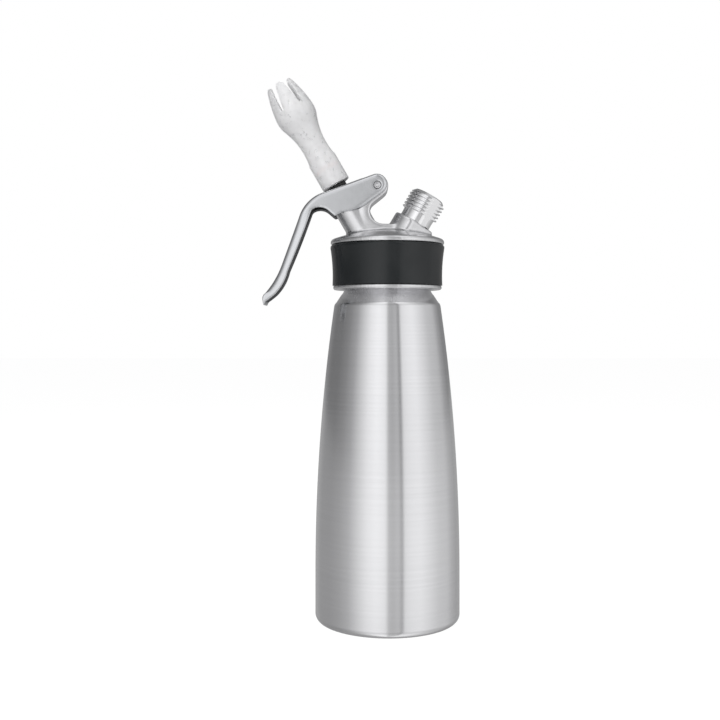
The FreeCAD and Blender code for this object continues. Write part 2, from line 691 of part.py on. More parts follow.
def draw_circle(body, name, x, y, radius):
    """Sketch a circle on a body's XZ plane."""
    sketch = body.newObject("Sketcher::SketchObject", name)
    sketch.AttachmentSupport = (origin_plane(body, "XZ_Plane"), [""])
    sketch.MapMode = "FlatFace"
    centre = FreeCAD.Vector(size(x), size(y), 0)
    sketch.addGeometry(Part.Circle(centre, FreeCAD.Vector(0, 0, 1), size(radius)), False)
    added = sketch.addConstraint(Sketcher.Constraint("Radius", 0, size(radius)))
    sketch.setExpression(f"Constraints[{added}]", tie(radius))
    if x == "0":
        sketch.addConstraint(Sketcher.Constraint("PointOnObject", 0, 3, -2))
    else:
        added = sketch.addConstraint(Sketcher.Constraint("DistanceX", -1, 1, 0, 3, centre.x))
        sketch.setExpression(f"Constraints[{added}]", tie(x))
    added = sketch.addConstraint(Sketcher.Constraint("DistanceY", -1, 1, 0, 3, centre.y))
    sketch.setExpression(f"Constraints[{added}]", tie(y))
    return sketch


def make_port():
    """Threaded charger port with its seals, filter and piercing pin."""
    shank = "port_socket - piece_gap"
    foot = "port_socket_end + port_seal_height"
    thread_foot = "port_boss_end + port_neck_height"
    top = f"({thread_foot} + port_thread_length)"
    root = "port_thread_radius - port_thread_depth"
    bore_top = f"({top} - port_mouth_depth - 1.5)"
    bore_foot = f"({bore_top} - charger_bore_length)"
    core = turned(
        "port_core",
        ("holder_pocket", foot),
        [
            line(shank, foot),
            line(shank, "port_boss_end"),
            line("port_neck_radius", "port_boss_end"),
            line("port_neck_radius", thread_foot),
            line(root, thread_foot),
            line(root, top),
            line("port_mouth + 0.5", top),
            line("port_mouth", f"{top} - 0.5"),
            line("port_mouth", f"{top} - port_mouth_depth"),
            line("charger_bore", bore_top),
            line("charger_bore", f"{bore_top} - charger_land"),
            line("charger_bore + charger_relief", f"{bore_top} - charger_land"),
            line("charger_bore + charger_relief", bore_foot),
            line("holder_pocket", bore_foot),
        ],
    )
    doc.recompute()
    ridge = thread_ridge(
        size(root),
        size("port_thread_radius"),
        size("port_pitch"),
        size("port_thread_length"),
        size("port_pitch * 0.86"),
        size("port_pitch * 0.2"),
    )
    thread = doc.addObject("Part::Feature", "port_thread")
    thread.Shape = ridge
    thread.Placement = FreeCAD.Placement(
        FreeCAD.Vector(0, 0, size(f"{thread_foot} + port_pitch / 2")),
        FreeCAD.Rotation(FreeCAD.Vector(0, 0, 1), 180),
    )
    whole = joined("port_whole", [core, thread])
    trim = turned(
        "port_trim",
        (f"{root} - 0.8", top),
        [
            line("port_thread_radius + 1", f"{top} - port_thread_depth - 1.8"),
            line("port_thread_radius + 1", f"{top} + port_pitch * 2"),
            line("1", f"{top} + port_pitch * 2"),
            line("1", top),
        ],
    )
    flat = doc.addObject("Part::Box", "port_thread_flat")
    size_flat(flat, FreeCAD.Placement())
    port = cut("port_milled", whole, [trim, flat])
    lean_over(port, "port")
    finished("charger_port", port)
    inside = "holder_pocket - piece_gap"
    plate_top = f"({bore_foot} - charger_seal_height)"
    plate_foot = f"({plate_top} - pin_plate_height)"
    finished("port_seal", ring("port_seal_ring", "holder_pocket - 1.5", shank, "port_socket_end", foot, "port"))
    finished("charger_seal", ring("charger_seal_ring", "charger_bore - 1.5", inside, plate_top, bore_foot, "port"))
    finished("piercing_pin", turned(
        "pin_plate",
        ("needle_radius * 0.4", plate_foot),
        [
            line(inside, plate_foot),
            line(inside, plate_top),
            line("needle_radius + 0.8", plate_top),
            line("needle_radius", f"{plate_top} + 0.8"),
            line("needle_radius", f"{plate_top} + needle_length - 2"),
            line("needle_radius * 0.4", f"{plate_top} + needle_length"),
        ],
        "port",
    ))
    finished("gas_filter", turned(
        "filter_disc",
        ("0", f"{plate_foot} - filter_height"),
        [
            line(inside, f"{plate_foot} - filter_height"),
            line(inside, plate_foot),
            line("0", plate_foot),
        ],
        "port",
    ))


def make_check_valve():
    """Sprung ball that lets gas in and holds the cream back."""
    finished("check_retainer", ring(
        "retainer_ring", "gas_channel * 0.75", "check_chamber - piece_gap",
        "retainer_start", "retainer_start + retainer_height", "port",
    ))
    ball = doc.addObject("Part::Sphere", "check_ball_sphere")
    ball.setExpression("Radius", tie("check_ball_radius"))
    sit = "(check_seat - sqrt(pow(check_ball_radius; 2) - pow(gas_channel; 2)) - 0.1)"
    ball.setExpression("Placement.Base.x", tie(f"{sit} * sin(lean)"))
    ball.setExpression("Placement.Base.z", tie(f"port_foot + {sit} * cos(lean)"))
    finished("check_ball", ball)
    foot = "retainer_start + retainer_height + check_wire + piece_gap"
    top = f"{sit} - check_ball_radius - check_travel - check_wire"
    spring = doc.addObject("Part::Feature", "check_spring_coil")
    spring.Shape = spring_coil(
        size("check_wire"), size("gas_channel + 0.3"), size(f"{top} - ({foot})"), size("check_turns"),
    )
    lean_over(spring, "port", foot)
    finished("check_spring", spring)


def lever_outline(shift_x, shift_z):
    """Return the side outline of the lever, moved by a shift."""
    def at(x, z):
        return f"{x} + {shift_x}", f"{z} + {shift_z}"
    start = at("pivot_x - 2.9", "pivot_z + 7.1")
    steps = [
        arc(*at("pivot_x + 4.2", "pivot_z - 4.3"), "lever_eye", "right"),
        line(*at("pivot_x - 6.7", "pivot_z - 12.2")),
        arc(*at("cheek_x + 5.1", "cheek_z + 2.5"), "40", "right"),
        line(*at("cheek_x + 1.0", "cheek_z + 0.3")),
        arc(*at("cheek_x - 1.1", "cheek_z + 0.6"), "1.5", "right"),
        line(*at("cheek_x - 4.0", "cheek_z + 3.3")),
        arc(*at("knee_x - 5.1", "knee_z - 10.5"), "8", "left"),
        line(*at("grip_x + 3.6", "grip_z - 3.5")),
        arc(*at("toe_x + 0.8", "toe_z + 2.2"), "34", "right"),
        line(*at("toe_x + 0.5", "toe_z")),
        line(*at("toe_x - 0.1", "toe_z")),
        line(*at("toe_x - 1.4", "toe_z + 4.0")),
        arc(*at("toe_x - 0.4", "toe_z + 7.5"), "3.4", "right"),
        arc(*at("grip_x", "grip_z"), "60", "left"),
        line(*at("knee_x - 13.1", "knee_z - 14.9")),
        arc(*at("knee_x", "knee_z"), "knee_round", "right"),
    ]
    return start, steps


def make_lever():
    """Pressed steel lever: a channel with a fork around the ear."""
    start, steps = lever_outline("0", "0")
    lever = plate("lever_blank", "XZ_Plane", start, steps, "lever_width")
    doc.recompute()
    half = size("lever_width") / 2
    bend_from = FreeCAD.Vector(size("toe_x - 0.4"), 0, size("toe_z + 7.5"))
    bend_to = FreeCAD.Vector(size("pivot_x - 2.9"), 0, size("pivot_z + 7.1"))
    above = FreeCAD.Vector(size("knee_x - 13.1"), 0, size("knee_z - 14.9"))
    names = []
    for number, edge in enumerate(lever.Shape.Edges, 1):
        sides = [vertex.Y for vertex in edge.Vertexes]
        on_side = abs(abs(sides[0]) - half) < TOLERANCE and abs(sides[0] - sides[-1]) < TOLERANCE
        ends = [FreeCAD.Vector(vertex.X, 0, vertex.Z) for vertex in edge.Vertexes]
        outer = all(
            any((end - key).Length < 0.01 for key in outer_keys(bend_from, above, bend_to))
            for end in ends
        )
        if on_side and outer:
            names.append(f"Edge{number}")
    blank = lever.Tip
    bend = lever.newObject("PartDesign::Fillet", "lever_bends")
    bend.Base = (blank, names)
    bend.setExpression("Radius", tie("lever_bend"))
    doc.recompute()
    inner_width = tie("lever_width - 2 * lever_sheet")
    shift = "lever_sheet * 0.78"
    start, steps = lever_outline(shift, f"-1 * {shift}")
    channel = draw(lever, "channel_outline", "XZ_Plane", start, steps)
    pocket = lever.newObject("PartDesign::Pocket", "channel_pocket")
    pocket.Profile = channel
    pocket.SideType = "Symmetric"
    pocket.setExpression("Length", inner_width)
    fork = draw(
        lever, "fork_outline", "XZ_Plane",
        ("fork_end", "pivot_z - 16"),
        [
            line("pivot_x + 12", "pivot_z - 16"),
            line("pivot_x + 12", "pivot_z + 12"),
            line("fork_end", "pivot_z + 12"),
        ],
    )
    mouth = lever.newObject("PartDesign::Pocket", "fork_pocket")
    mouth.Profile = fork
    mouth.SideType = "Symmetric"
    mouth.setExpression("Length", inner_width)
    eye = draw_circle(lever, "eye_circle", "pivot_x", "pivot_z", "pin_radius + lever_play")
    drill = lever.newObject("PartDesign::Pocket", "eye_drill")
    drill.Profile = eye
    drill.SideType = "Symmetric"
    drill.setExpression("Length", tie("2 * lever_width"))
    hole = rod("lever_stem_hole", "lever_hole", "flange_top - 6", "20", "valve")
    finished("lever", cut("lever_whole", lever, [hole]))
    finished("lever_pin", make_pin())


def outer_keys(bend_from, above, bend_to):
    """Return the outline corners that bound the lever's rounded long edges."""
    return [
        bend_from,
        FreeCAD.Vector(size("grip_x"), 0, size("grip_z")),
        above,
        FreeCAD.Vector(size("knee_x"), 0, size("knee_z")),
        bend_to,
    ]


def make_pin():
    """Plain pin with a centre dimple in each end."""
    reach = "(lever_width / 2 + pin_proud)"
    body = turned(
        "pin_body",
        ("0", f"0.7 - {reach}"),
        [
            line("pin_radius * 0.6", f"0 - {reach}"),
            line("pin_radius - 0.3", f"0 - {reach}"),
            line("pin_radius", f"0.3 - {reach}"),
            line("pin_radius", f"{reach} - 0.3"),
            line("pin_radius - 0.3", reach),
            line("pin_radius * 0.6", reach),
            line("0", f"{reach} - 0.7"),
        ],
    )
    body.Placement.Rotation = FreeCAD.Rotation(FreeCAD.Vector(1, 0, 0), 90)
    body.setExpression("Placement.Base.x", tie("pivot_x"))
    body.setExpression("Placement.Base.z", tie("pivot_z"))
    return body


def make_nozzle():
    """Tulip nozzle with its threaded insert and washer."""
    foot = "nozzle_start"
    insert_foot = "(nozzle_start + insert_step)"
    insert_top = f"({insert_foot} + insert_length)"
    washer_top = f"({insert_top} + washer_height + 0.1)"
    collar_top = "(nozzle_start + nozzle_collar)"
    bulge = "(nozzle_start + nozzle_bulge_at)"
    shoulder = "(nozzle_start + nozzle_bulge_start)"
    shoulder_radius = "(nozzle_bulge - 1.55)"
    top = "(nozzle_start + nozzle_length)"
    nozzle = turned(
        "tulip_body",
        ("spigot_radius + 0.3", foot),
        [
            line("nozzle_radius - 0.8", foot),
            arc("nozzle_radius", f"{foot} + 0.8", "0.8", "left"),
            line("nozzle_radius", f"{collar_top} - 0.3"),
            line("nozzle_radius - 0.3", collar_top),
            arc(shoulder_radius, shoulder, "nozzle_waist_round", "right"),
            arc("nozzle_bulge", bulge, "17", "left"),
            arc("nozzle_mouth", f"{top} - 0.6", "80", "left"),
            arc("nozzle_mouth - nozzle_wall * 0.4", top, "0.7", "left"),
            line("nozzle_mouth - nozzle_wall", f"{top} - 0.5"),
            arc("nozzle_bulge - nozzle_wall", bulge, "79", "right"),
            arc(f"{shoulder_radius} - nozzle_wall", shoulder, "16", "right"),
            arc("nozzle_throat + 3", f"{shoulder} - 16", "50", "left"),
            line("nozzle_throat", f"{washer_top} + 7"),
            line("nozzle_throat", washer_top),
            line("insert_radius - 1.6", washer_top),
            line("insert_radius - 1.6", insert_top),
            line("insert_radius + piece_gap", insert_top),
            line("insert_radius + piece_gap", insert_foot),
            line("spigot_radius + 0.3", insert_foot),
        ],
        "valve",
    )
    doc.recompute()
    slot_foot = "(nozzle_start + petal_slot_start)"
    half = "petal_slot / 2"
    half_mouth = "petal_slot_mouth / 2"
    slot = draw(
        nozzle, "slot_outline", "YZ_Plane",
        (f"0 - {half}", f"{slot_foot} + {half}"),
        [
            arc("0", slot_foot, half, "left"),
            arc(half, f"{slot_foot} + {half}", half, "left"),
            line(half_mouth, f"{top} + 1"),
            line(f"0 - {half_mouth}", f"{top} + 1"),
        ],
    )
    slot.AttachmentOffset = FreeCAD.Placement(
        FreeCAD.Vector(0, 0, 0), FreeCAD.Rotation(FreeCAD.Vector(0, 1, 0), -size("petal_turn")),
    )
    doc.recompute()
    before = nozzle.Shape.Volume
    pocket = nozzle.newObject("PartDesign::Pocket", "slot_pocket")
    pocket.Profile = slot
    pocket.setExpression("Length", tie("2 * nozzle_bulge"))
    pocket.Reversed = True
    doc.recompute()
    if not nozzle.Shape.Volume < before:
        raise RuntimeError("the nozzle's slot cuts nothing")
    pattern = nozzle.newObject("PartDesign::PolarPattern", "petal_pattern")
    pattern.Originals = [pocket]
    pattern.Axis = (origin_plane(nozzle, "Z_Axis"), [""])
    pattern.Angle = 360
    pattern.setExpression("Occurrences", tie("petals"))
    nozzle.Tip = pattern
    finished("nozzle_tip", nozzle)
    finished("nozzle_insert", ring(
        "insert_ring", "spigot_radius + 2 * piece_gap", "insert_radius", insert_foot, insert_top, "valve",
    ))
    finished("nozzle_washer", ring(
        "washer_ring", "stem_channel + 0.6", "insert_radius - 1.6 - piece_gap",
        "spigot_start + spigot_length + 0.2", washer_top, "valve",
    ))


def check_all():
    """Stop if any object failed or any finished piece is not a sound solid."""
    for item in doc.Objects:
        faults = {"Invalid", "Error"} & set(item.State)
        if faults:
            raise RuntimeError(f"{item.Name} ({item.Label}) failed: {item.State}")
    for node, item in parts.items():
        shape = item.Shape
        if shape.isNull() or not shape.isValid():
            raise RuntimeError(f"{node} has no valid shape")
        if not shape.Solids:
            raise RuntimeError(f"{node} is not solid")


def main():
    """Build every piece, check it and write one file for each."""
    make_bottle()
    make_gasket()
    make_casting()
    make_band()
    make_valve()
    make_port()
    make_check_valve()
    make_lever()
    make_nozzle()
    doc.recompute()
    check_all()
    os.makedirs("parts", exist_ok=True)
    for node, item in parts.items():
        item.Shape.exportStep(f"parts/{node}.step")
        print(f"{node}: {len(item.Shape.Solids)} solid, {item.Shape.Volume:.1f} mm3")


main()
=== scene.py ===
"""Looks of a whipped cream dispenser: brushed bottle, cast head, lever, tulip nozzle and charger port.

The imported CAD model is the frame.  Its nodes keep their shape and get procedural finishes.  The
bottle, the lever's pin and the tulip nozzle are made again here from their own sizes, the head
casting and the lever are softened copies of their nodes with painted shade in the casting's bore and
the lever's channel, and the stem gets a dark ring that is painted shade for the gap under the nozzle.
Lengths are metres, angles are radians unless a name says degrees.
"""

import json
import logging
import math
from dataclasses import dataclass
from enum import Enum
from typing import ClassVar

import bmesh
import bpy
import numpy as np
from mathutils import Matrix, Vector

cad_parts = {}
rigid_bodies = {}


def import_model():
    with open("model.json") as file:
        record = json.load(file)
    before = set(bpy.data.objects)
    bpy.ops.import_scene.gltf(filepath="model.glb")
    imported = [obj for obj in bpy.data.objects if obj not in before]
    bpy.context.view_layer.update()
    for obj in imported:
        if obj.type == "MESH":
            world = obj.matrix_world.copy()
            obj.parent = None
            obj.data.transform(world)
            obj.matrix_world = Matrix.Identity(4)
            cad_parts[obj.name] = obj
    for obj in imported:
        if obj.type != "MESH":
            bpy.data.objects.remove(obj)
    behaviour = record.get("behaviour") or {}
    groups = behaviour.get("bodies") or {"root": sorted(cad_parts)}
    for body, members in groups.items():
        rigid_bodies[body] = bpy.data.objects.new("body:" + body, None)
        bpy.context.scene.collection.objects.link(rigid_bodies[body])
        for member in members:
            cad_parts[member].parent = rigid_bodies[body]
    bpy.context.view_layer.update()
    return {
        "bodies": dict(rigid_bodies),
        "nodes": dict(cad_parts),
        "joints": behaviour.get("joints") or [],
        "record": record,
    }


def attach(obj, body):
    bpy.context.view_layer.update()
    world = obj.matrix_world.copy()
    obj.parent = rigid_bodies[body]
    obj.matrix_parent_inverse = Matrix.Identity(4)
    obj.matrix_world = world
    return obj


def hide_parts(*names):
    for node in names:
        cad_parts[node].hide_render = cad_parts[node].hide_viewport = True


LOG = logging.getLogger("cream_dispenser")
MM = 0.001
MERGE_DISTANCE = 1e-6
LEAN = math.radians(30.0)
VALVE_FOOT = 221.4 * MM
PIN_PLACE = (-6.6 * MM, 276.3 * MM)
PIN_RADIUS = 2.2 * MM
# Name of the point attribute that marks where shade is painted into a piece's colour.
PAINTED_SHADE_ATTRIBUTE = "painted_shade"

Point = tuple[float, float]
Place = tuple[float, float, float]
Colour = tuple[float, float, float]


class TreeMaker:
    """Adds and links the nodes of one node tree."""

    def __init__(self, tree: bpy.types.NodeTree) -> None:
        """Keep the tree that the nodes go into."""
        self.tree = tree

    def add(self, kind: str, options: dict | None = None, inputs: dict | None = None) -> bpy.types.Node:
        """Add a node, set its options, and set or link its inputs.

        Args:
            kind: the node's type.
            options: the node's own properties.
            inputs: a value or a socket for each input, by name or number.

        Returns:
            The new node.
        """
        node = self.tree.nodes.new(kind)
        for key, value in (options or {}).items():
            setattr(node, key, value)
        for key, value in (inputs or {}).items():
            if isinstance(value, bpy.types.NodeSocket):
                self.tree.links.new(value, node.inputs[key])
            else:
                node.inputs[key].default_value = value
        return node

    def math(self, operation: str, first: object, second: object = 0.0, clamp: bool = False) -> object:
        """Add a Math node and return its output."""
        options = {"operation": operation, "use_clamp": clamp}
        return self.add("ShaderNodeMath", options, {0: first, 1: second}).outputs[0]

    def blend(self, factor: object, first: object, second: object) -> object:
        """Add a Mix node for colours and return its output."""
        node = self.add("ShaderNodeMix", {"data_type": "RGBA"}, {0: factor, 6: first, 7: second})
        return node.outputs[2]

    def ramp(self, value: object, low: float, high: float, start: object, end: object) -> object:
        """Add a clamped Map Range node and return its output."""
        inputs = {"Value": value, "From Min": low, "From Max": high, "To Min": start, "To Max": end}
        return self.add("ShaderNodeMapRange", {"clamp": True}, inputs).outputs[0]

    def join(self, source: object, target: object) -> None:
        """Link one output to one input."""
        self.tree.links.new(source, target)


def new_group(name: str, kind: str, inputs: dict, outputs: dict) -> tuple:
    """Start a node group with named inputs and outputs.

    Args:
        name: the group's name.
        kind: ShaderNodeTree or GeometryNodeTree.
        inputs: for each input its socket type and its value, or None.
        outputs: for each output its socket type.

    Returns:
        The maker for the group's tree, its input node and its output node.
    """
    tree = bpy.data.node_groups.new(name, kind)
    for label, (socket_type, value) in inputs.items():
        socket = tree.interface.new_socket(label, in_out="INPUT", socket_type=socket_type)
        if value is not None:
            socket.default_value = value
    for label, socket_type in outputs.items():
        tree.interface.new_socket(label, in_out="OUTPUT", socket_type=socket_type)
    maker = TreeMaker(tree)
    return maker, maker.add("NodeGroupInput"), maker.add("NodeGroupOutput")


class SurfaceEffects:
    """Shader node groups that several finishes use.

    Attributes:
        slow_share: scale of the slow grain against the fine one.
        fine_weight: share of the fine grain in the shade.
        speck_share: scale of the specks against the smudges.
        speck_weight: how much a speck shows against a smudge.
        cloud_span: noise levels between which a smudge fades in.
        speck_span: distances between which a speck fades in.
        edge_span: how far the rounded normal turns between no edge and a full one, as a cosine.
    """

    slow_share: float = 0.11
    fine_weight: float = 0.4
    speck_share: float = 22.0
    speck_weight: float = 0.03
    cloud_span: Point = (0.45, 0.72)
    speck_span: Point = (0.10, 0.02)
    edge_span: Point = (0.99, 0.80)

    def __init__(self) -> None:
        """Build each group once."""
        self.grain = self.grain_group()
        self.marks = self.marks_group()
        self.edges = self.edges_group()

    def grain_group(self) -> bpy.types.NodeTree:
        """Return the group that draws a stretched, fine grain such as brush lines."""
        maker, start, end = new_group(
            "stretched_grain",
            "ShaderNodeTree",
            {
                "Vector": ("NodeSocketVector", None),
                "Stretch": ("NodeSocketVector", (1.0, 1.0, 1.0)),
                "Scale": ("NodeSocketFloat", 1000.0),
            },
            {"Height": "NodeSocketFloat", "Shade": "NodeSocketFloat"},
        )
        pulled = maker.add(
            "ShaderNodeVectorMath", {"operation": "MULTIPLY"}, {0: start.outputs[0], 1: start.outputs[1]}
        )
        fine = maker.add(
            "ShaderNodeTexNoise", None,
            {"Vector": pulled.outputs[0], "Scale": start.outputs[2], "Detail": 5.0, "Roughness": 0.65},
        )
        slow_scale = maker.math("MULTIPLY", start.outputs[2], self.slow_share)
        slow = maker.add(
            "ShaderNodeTexNoise", None,
            {"Vector": pulled.outputs[0], "Scale": slow_scale, "Detail": 3.0, "Roughness": 0.5},
        )
        maker.join(fine.outputs[0], end.inputs["Height"])
        fine_part = maker.math("MULTIPLY", fine.outputs[0], self.fine_weight)
        slow_part = maker.math("MULTIPLY", slow.outputs[0], 1.0 - self.fine_weight)
        maker.join(maker.math("ADD", fine_part, slow_part), end.inputs["Shade"])
        return maker.tree

    def marks_group(self) -> bpy.types.NodeTree:
        """Return the group that draws the soft smudges and specks that handling leaves."""
        maker, start, end = new_group(
            "handling_marks",
            "ShaderNodeTree",
            {
                "Vector": ("NodeSocketVector", None),
                "Scale": ("NodeSocketFloat", 30.0),
                "Amount": ("NodeSocketFloat", 0.5),
            },
            {"Mask": "NodeSocketFloat"},
        )
        cloud = maker.add(
            "ShaderNodeTexNoise", None,
            {"Vector": start.outputs[0], "Scale": start.outputs[1], "Detail": 4.0, "Distortion": 0.6},
        )
        speck_scale = maker.math("MULTIPLY", start.outputs[1], self.speck_share)
        speck = maker.add("ShaderNodeTexVoronoi", None, {"Vector": start.outputs[0], "Scale": speck_scale})
        soft = maker.ramp(cloud.outputs[0], *self.cloud_span, 0.0, 1.0)
        dots = maker.ramp(speck.outputs[0], *self.speck_span, 0.0, self.speck_weight)
        both = maker.math("ADD", soft, dots, clamp=True)
        maker.join(maker.math("MULTIPLY", both, start.outputs[2]), end.inputs["Mask"])
        return maker.tree

    def edges_group(self) -> bpy.types.NodeTree:
        """Return the group that rounds sharp edges in the light and marks where they are."""
        maker, start, end = new_group(
            "soft_edges",
            "ShaderNodeTree",
            {"Radius": ("NodeSocketFloat", 0.0006)},
            {"Normal": "NodeSocketVector", "Mask": "NodeSocketFloat"},
        )
        rounded = maker.add("ShaderNodeBevel", {"samples": 6}, {"Radius": start.outputs[0]})
        surface = maker.add("ShaderNodeNewGeometry")
        facing = maker.add("ShaderNodeVectorMath", {"operation": "DOT_PRODUCT"},
                           {0: rounded.outputs[0], 1: surface.outputs["Normal"]})
        maker.join(rounded.outputs[0], end.inputs["Normal"])
        maker.join(maker.ramp(facing.outputs["Value"], *self.edge_span, 0.0, 1.0), end.inputs["Mask"])
        return maker.tree


class Grain(Enum):
    """How a surface's fine lines run, as the stretch of its pattern."""

    AROUND = (0.012, 0.012, 1.0)
    ACROSS = (1.0, 0.03, 1.0)
    SPECKLED = (1.0, 1.0, 1.0)


def tinted(colour: Colour, share: float) -> tuple[float, float, float, float]:
    """Return a share of a colour, as a socket takes it."""
    return tuple(min(1.0, share * part) for part in colour) + (1.0,)


@dataclass(frozen=True)
class Finish:
    """What every finish has.

    Attributes:
        slot: the record's material slot.
        colour: the material's colour.
        rough: roughness from, to.
        grain: how the fine lines or the moulded texture run.
        grain_scale: fineness of the grain.
        grain_depth: depth of the grain.
        marks: how much handling or dust shows.
        marks_scale: fineness of those marks.
        marks_rough: how much rougher a mark is.
        tone_span: darkest and lightest share of the colour.
        relief: strength of the grain's bump.
    """

    shade_span: ClassVar[Point] = (0.35, 0.65)

    slot: str
    colour: Colour
    rough: Point
    grain: Grain
    grain_scale: float
    grain_depth: float
    marks: float

    def start(self, effects: SurfaceEffects) -> tuple:
        """Start the material with its grain, its roughness and its tone.

        Args:
            effects: the node groups that the finishes share.

        Returns:
            The material, its maker, its shader, the grain's height, the tone and the marks' mask.
        """
        material, maker, shader = new_material(self.slot)
        place = maker.add("ShaderNodeTexCoord").outputs["Object"]
        grain = maker.add(
            "ShaderNodeGroup", {"node_tree": effects.grain},
            {"Vector": place, "Stretch": self.grain.value, "Scale": self.grain_scale},
        )
        marks = maker.add(
            "ShaderNodeGroup", {"node_tree": effects.marks},
            {"Vector": place, "Scale": self.marks_scale, "Amount": self.marks},
        ).outputs["Mask"]
        shade = maker.ramp(grain.outputs["Shade"], *self.shade_span, 0.0, 1.0)
        tone = maker.blend(shade, *(tinted(self.colour, share) for share in self.tone_span))
        rough = maker.ramp(shade, 0.0, 1.0, *self.rough)
        rough = maker.math("ADD", rough, maker.math("MULTIPLY", marks, self.marks_rough))
        maker.join(rough, shader.inputs["Roughness"])
        return material, maker, shader, grain.outputs["Height"], tone, marks


@dataclass(frozen=True)
class MetalFinish(Finish):
    """A steel or brass finish.

    Attributes:
        edge: radius to which sharp edges are softened.
        directional: how far the gloss is drawn out along the piece.
        painted_shade: how much darker the colour gets as painted shade where the piece's painted-shade
            attribute marks it.
    """

    marks_scale: ClassVar[float] = 38.0
    marks_rough: ClassVar[float] = 0.12
    tone_span: ClassVar[Point] = (0.97, 1.02)
    relief: ClassVar[float] = 0.35
    edge_wear: ClassVar[float] = 0.12
    edge_colour: ClassVar[Colour] = (0.9, 0.9, 0.9)

    edge: float = 0.0
    directional: float = 0.0
    painted_shade: float = 0.0

    def material(self, effects: SurfaceEffects) -> bpy.types.Material:
        """Return the finish as a material."""
        material, maker, shader, height, tone, _ = self.start(effects)
        relief = {"Strength": self.relief, "Distance": self.grain_depth, "Height": height}
        if self.edge:
            edges = maker.add("ShaderNodeGroup", {"node_tree": effects.edges}, {"Radius": self.edge})
            worn = maker.math("MULTIPLY", edges.outputs["Mask"], self.edge_wear)
            tone = maker.blend(worn, tone, tinted(self.edge_colour, 1.0))
            relief["Normal"] = edges.outputs["Normal"]
        # Painted shade: the colour darkens where the piece's attribute marks a recess.
        if self.painted_shade:
            shade_mask = maker.add("ShaderNodeAttribute", {"attribute_name": PAINTED_SHADE_ATTRIBUTE}).outputs["Fac"]
            tone = maker.blend(shade_mask, tone, tinted(self.colour, 1.0 - self.painted_shade))
        maker.join(tone, shader.inputs["Base Color"])
        maker.join(maker.add("ShaderNodeBump", None, relief).outputs[0], shader.inputs["Normal"])
        shader.inputs["Metallic"].default_value = 1.0
        if self.directional:
            shader.inputs["Anisotropic"].default_value = self.directional
            shader.inputs["Anisotropic Rotation"].default_value = 0.25
            tangent = maker.add("ShaderNodeTangent", {"direction_type": "RADIAL", "axis": "Z"})
            maker.join(tangent.outputs[0], shader.inputs["Tangent"])
        return material


@dataclass(frozen=True)
class SoftFinish(Finish):
    """A rubber, silicone or plastic finish.

    Attributes:
        mark_colour: colour of the dust or the marks.
        see_through: share of light that passes.
    """

    marks_scale: ClassVar[float] = 55.0
    marks_rough: ClassVar[float] = 0.1
    tone_span: ClassVar[Point] = (0.9, 1.06)
    relief: ClassVar[float] = 0.3
    dust: ClassVar[float] = 0.3
    ior: ClassVar[float] = 1.47

    mark_colour: Colour
    see_through: float = 0.0

    def material(self, effects: SurfaceEffects) -> bpy.types.Material:
        """Return the finish as a material."""
        material, maker, shader, height, tone, marks = self.start(effects)
        dusty = maker.blend(maker.math("MULTIPLY", marks, self.dust), tone, tinted(self.mark_colour, 1.0))
        maker.join(dusty, shader.inputs["Base Color"])
        relief = {"Strength": self.relief, "Distance": self.grain_depth, "Height": height}
        maker.join(maker.add("ShaderNodeBump", None, relief).outputs[0], shader.inputs["Normal"])
        shader.inputs["IOR"].default_value = self.ior
        shader.inputs["Transmission Weight"].default_value = self.see_through
        return material


def new_material(name: str) -> tuple:
    """Start a material and return it with its maker and its Principled shader."""
    material = bpy.data.materials.new(f"{name}_finish")
    material.use_nodes = True
    maker = TreeMaker(material.node_tree)
    return material, maker, material.node_tree.nodes["Principled BSDF"]


FINISHES = [
    MetalFinish("bottle_steel", (0.76, 0.76, 0.77), (0.155, 0.18), Grain.AROUND, 9000.0, 8e-6, 0.15,
                directional=0.6),
    # The casting and the lever darken their colour as painted shade where their pieces mark it.
    MetalFinish("cast_steel", (0.76, 0.76, 0.77), (0.20, 0.27), Grain.SPECKLED, 2600.0, 6e-6, 0.3,
                painted_shade=0.6),
    MetalFinish("lever_steel", (0.68, 0.69, 0.705), (0.17, 0.22), Grain.ACROSS, 2300.0, 6e-6, 0.3,
                painted_shade=0.86),
    MetalFinish("port_steel", (0.87, 0.87, 0.875), (0.11, 0.16), Grain.SPECKLED, 1700.0, 5e-6, 0.15),
    MetalFinish("polished_steel", (0.80, 0.80, 0.81), (0.10, 0.18), Grain.SPECKLED, 2100.0, 1e-5, 0.2,
                edge=0.2 * MM),
    MetalFinish("spring_steel", (0.60, 0.60, 0.62), (0.22, 0.30), Grain.SPECKLED, 2500.0, 1e-5, 0.2),
    MetalFinish("bush_brass", (0.78, 0.60, 0.32), (0.20, 0.28), Grain.AROUND, 3000.0, 1e-5, 0.2,
                edge=0.2 * MM),
    SoftFinish("grip_rubber", (0.006, 0.008, 0.009), (0.20, 0.25), Grain.SPECKLED, 3200.0, 6e-6, 0.2,
               (0.08, 0.08, 0.08)),
    SoftFinish("seal_rubber", (0.020, 0.020, 0.020), (0.45, 0.55), Grain.SPECKLED, 2500.0, 3e-5, 0.3,
               (0.10, 0.10, 0.10)),
    SoftFinish("silicone", (0.72, 0.20, 0.15), (0.40, 0.50), Grain.SPECKLED, 2200.0, 3e-5, 0.2,
               (0.8, 0.5, 0.45)),
    SoftFinish("frosted_plastic", (0.84, 0.84, 0.845), (0.26, 0.34), Grain.SPECKLED, 2600.0, 5e-6, 0.04,
               (0.90, 0.90, 0.90), see_through=0.30),
]


def placed(name: str, data: bpy.types.ID) -> bpy.types.Object:
    """Put an object with its data in the scene and return it."""
    thing = bpy.data.objects.new(name, data)
    bpy.context.scene.collection.objects.link(thing)
    return thing


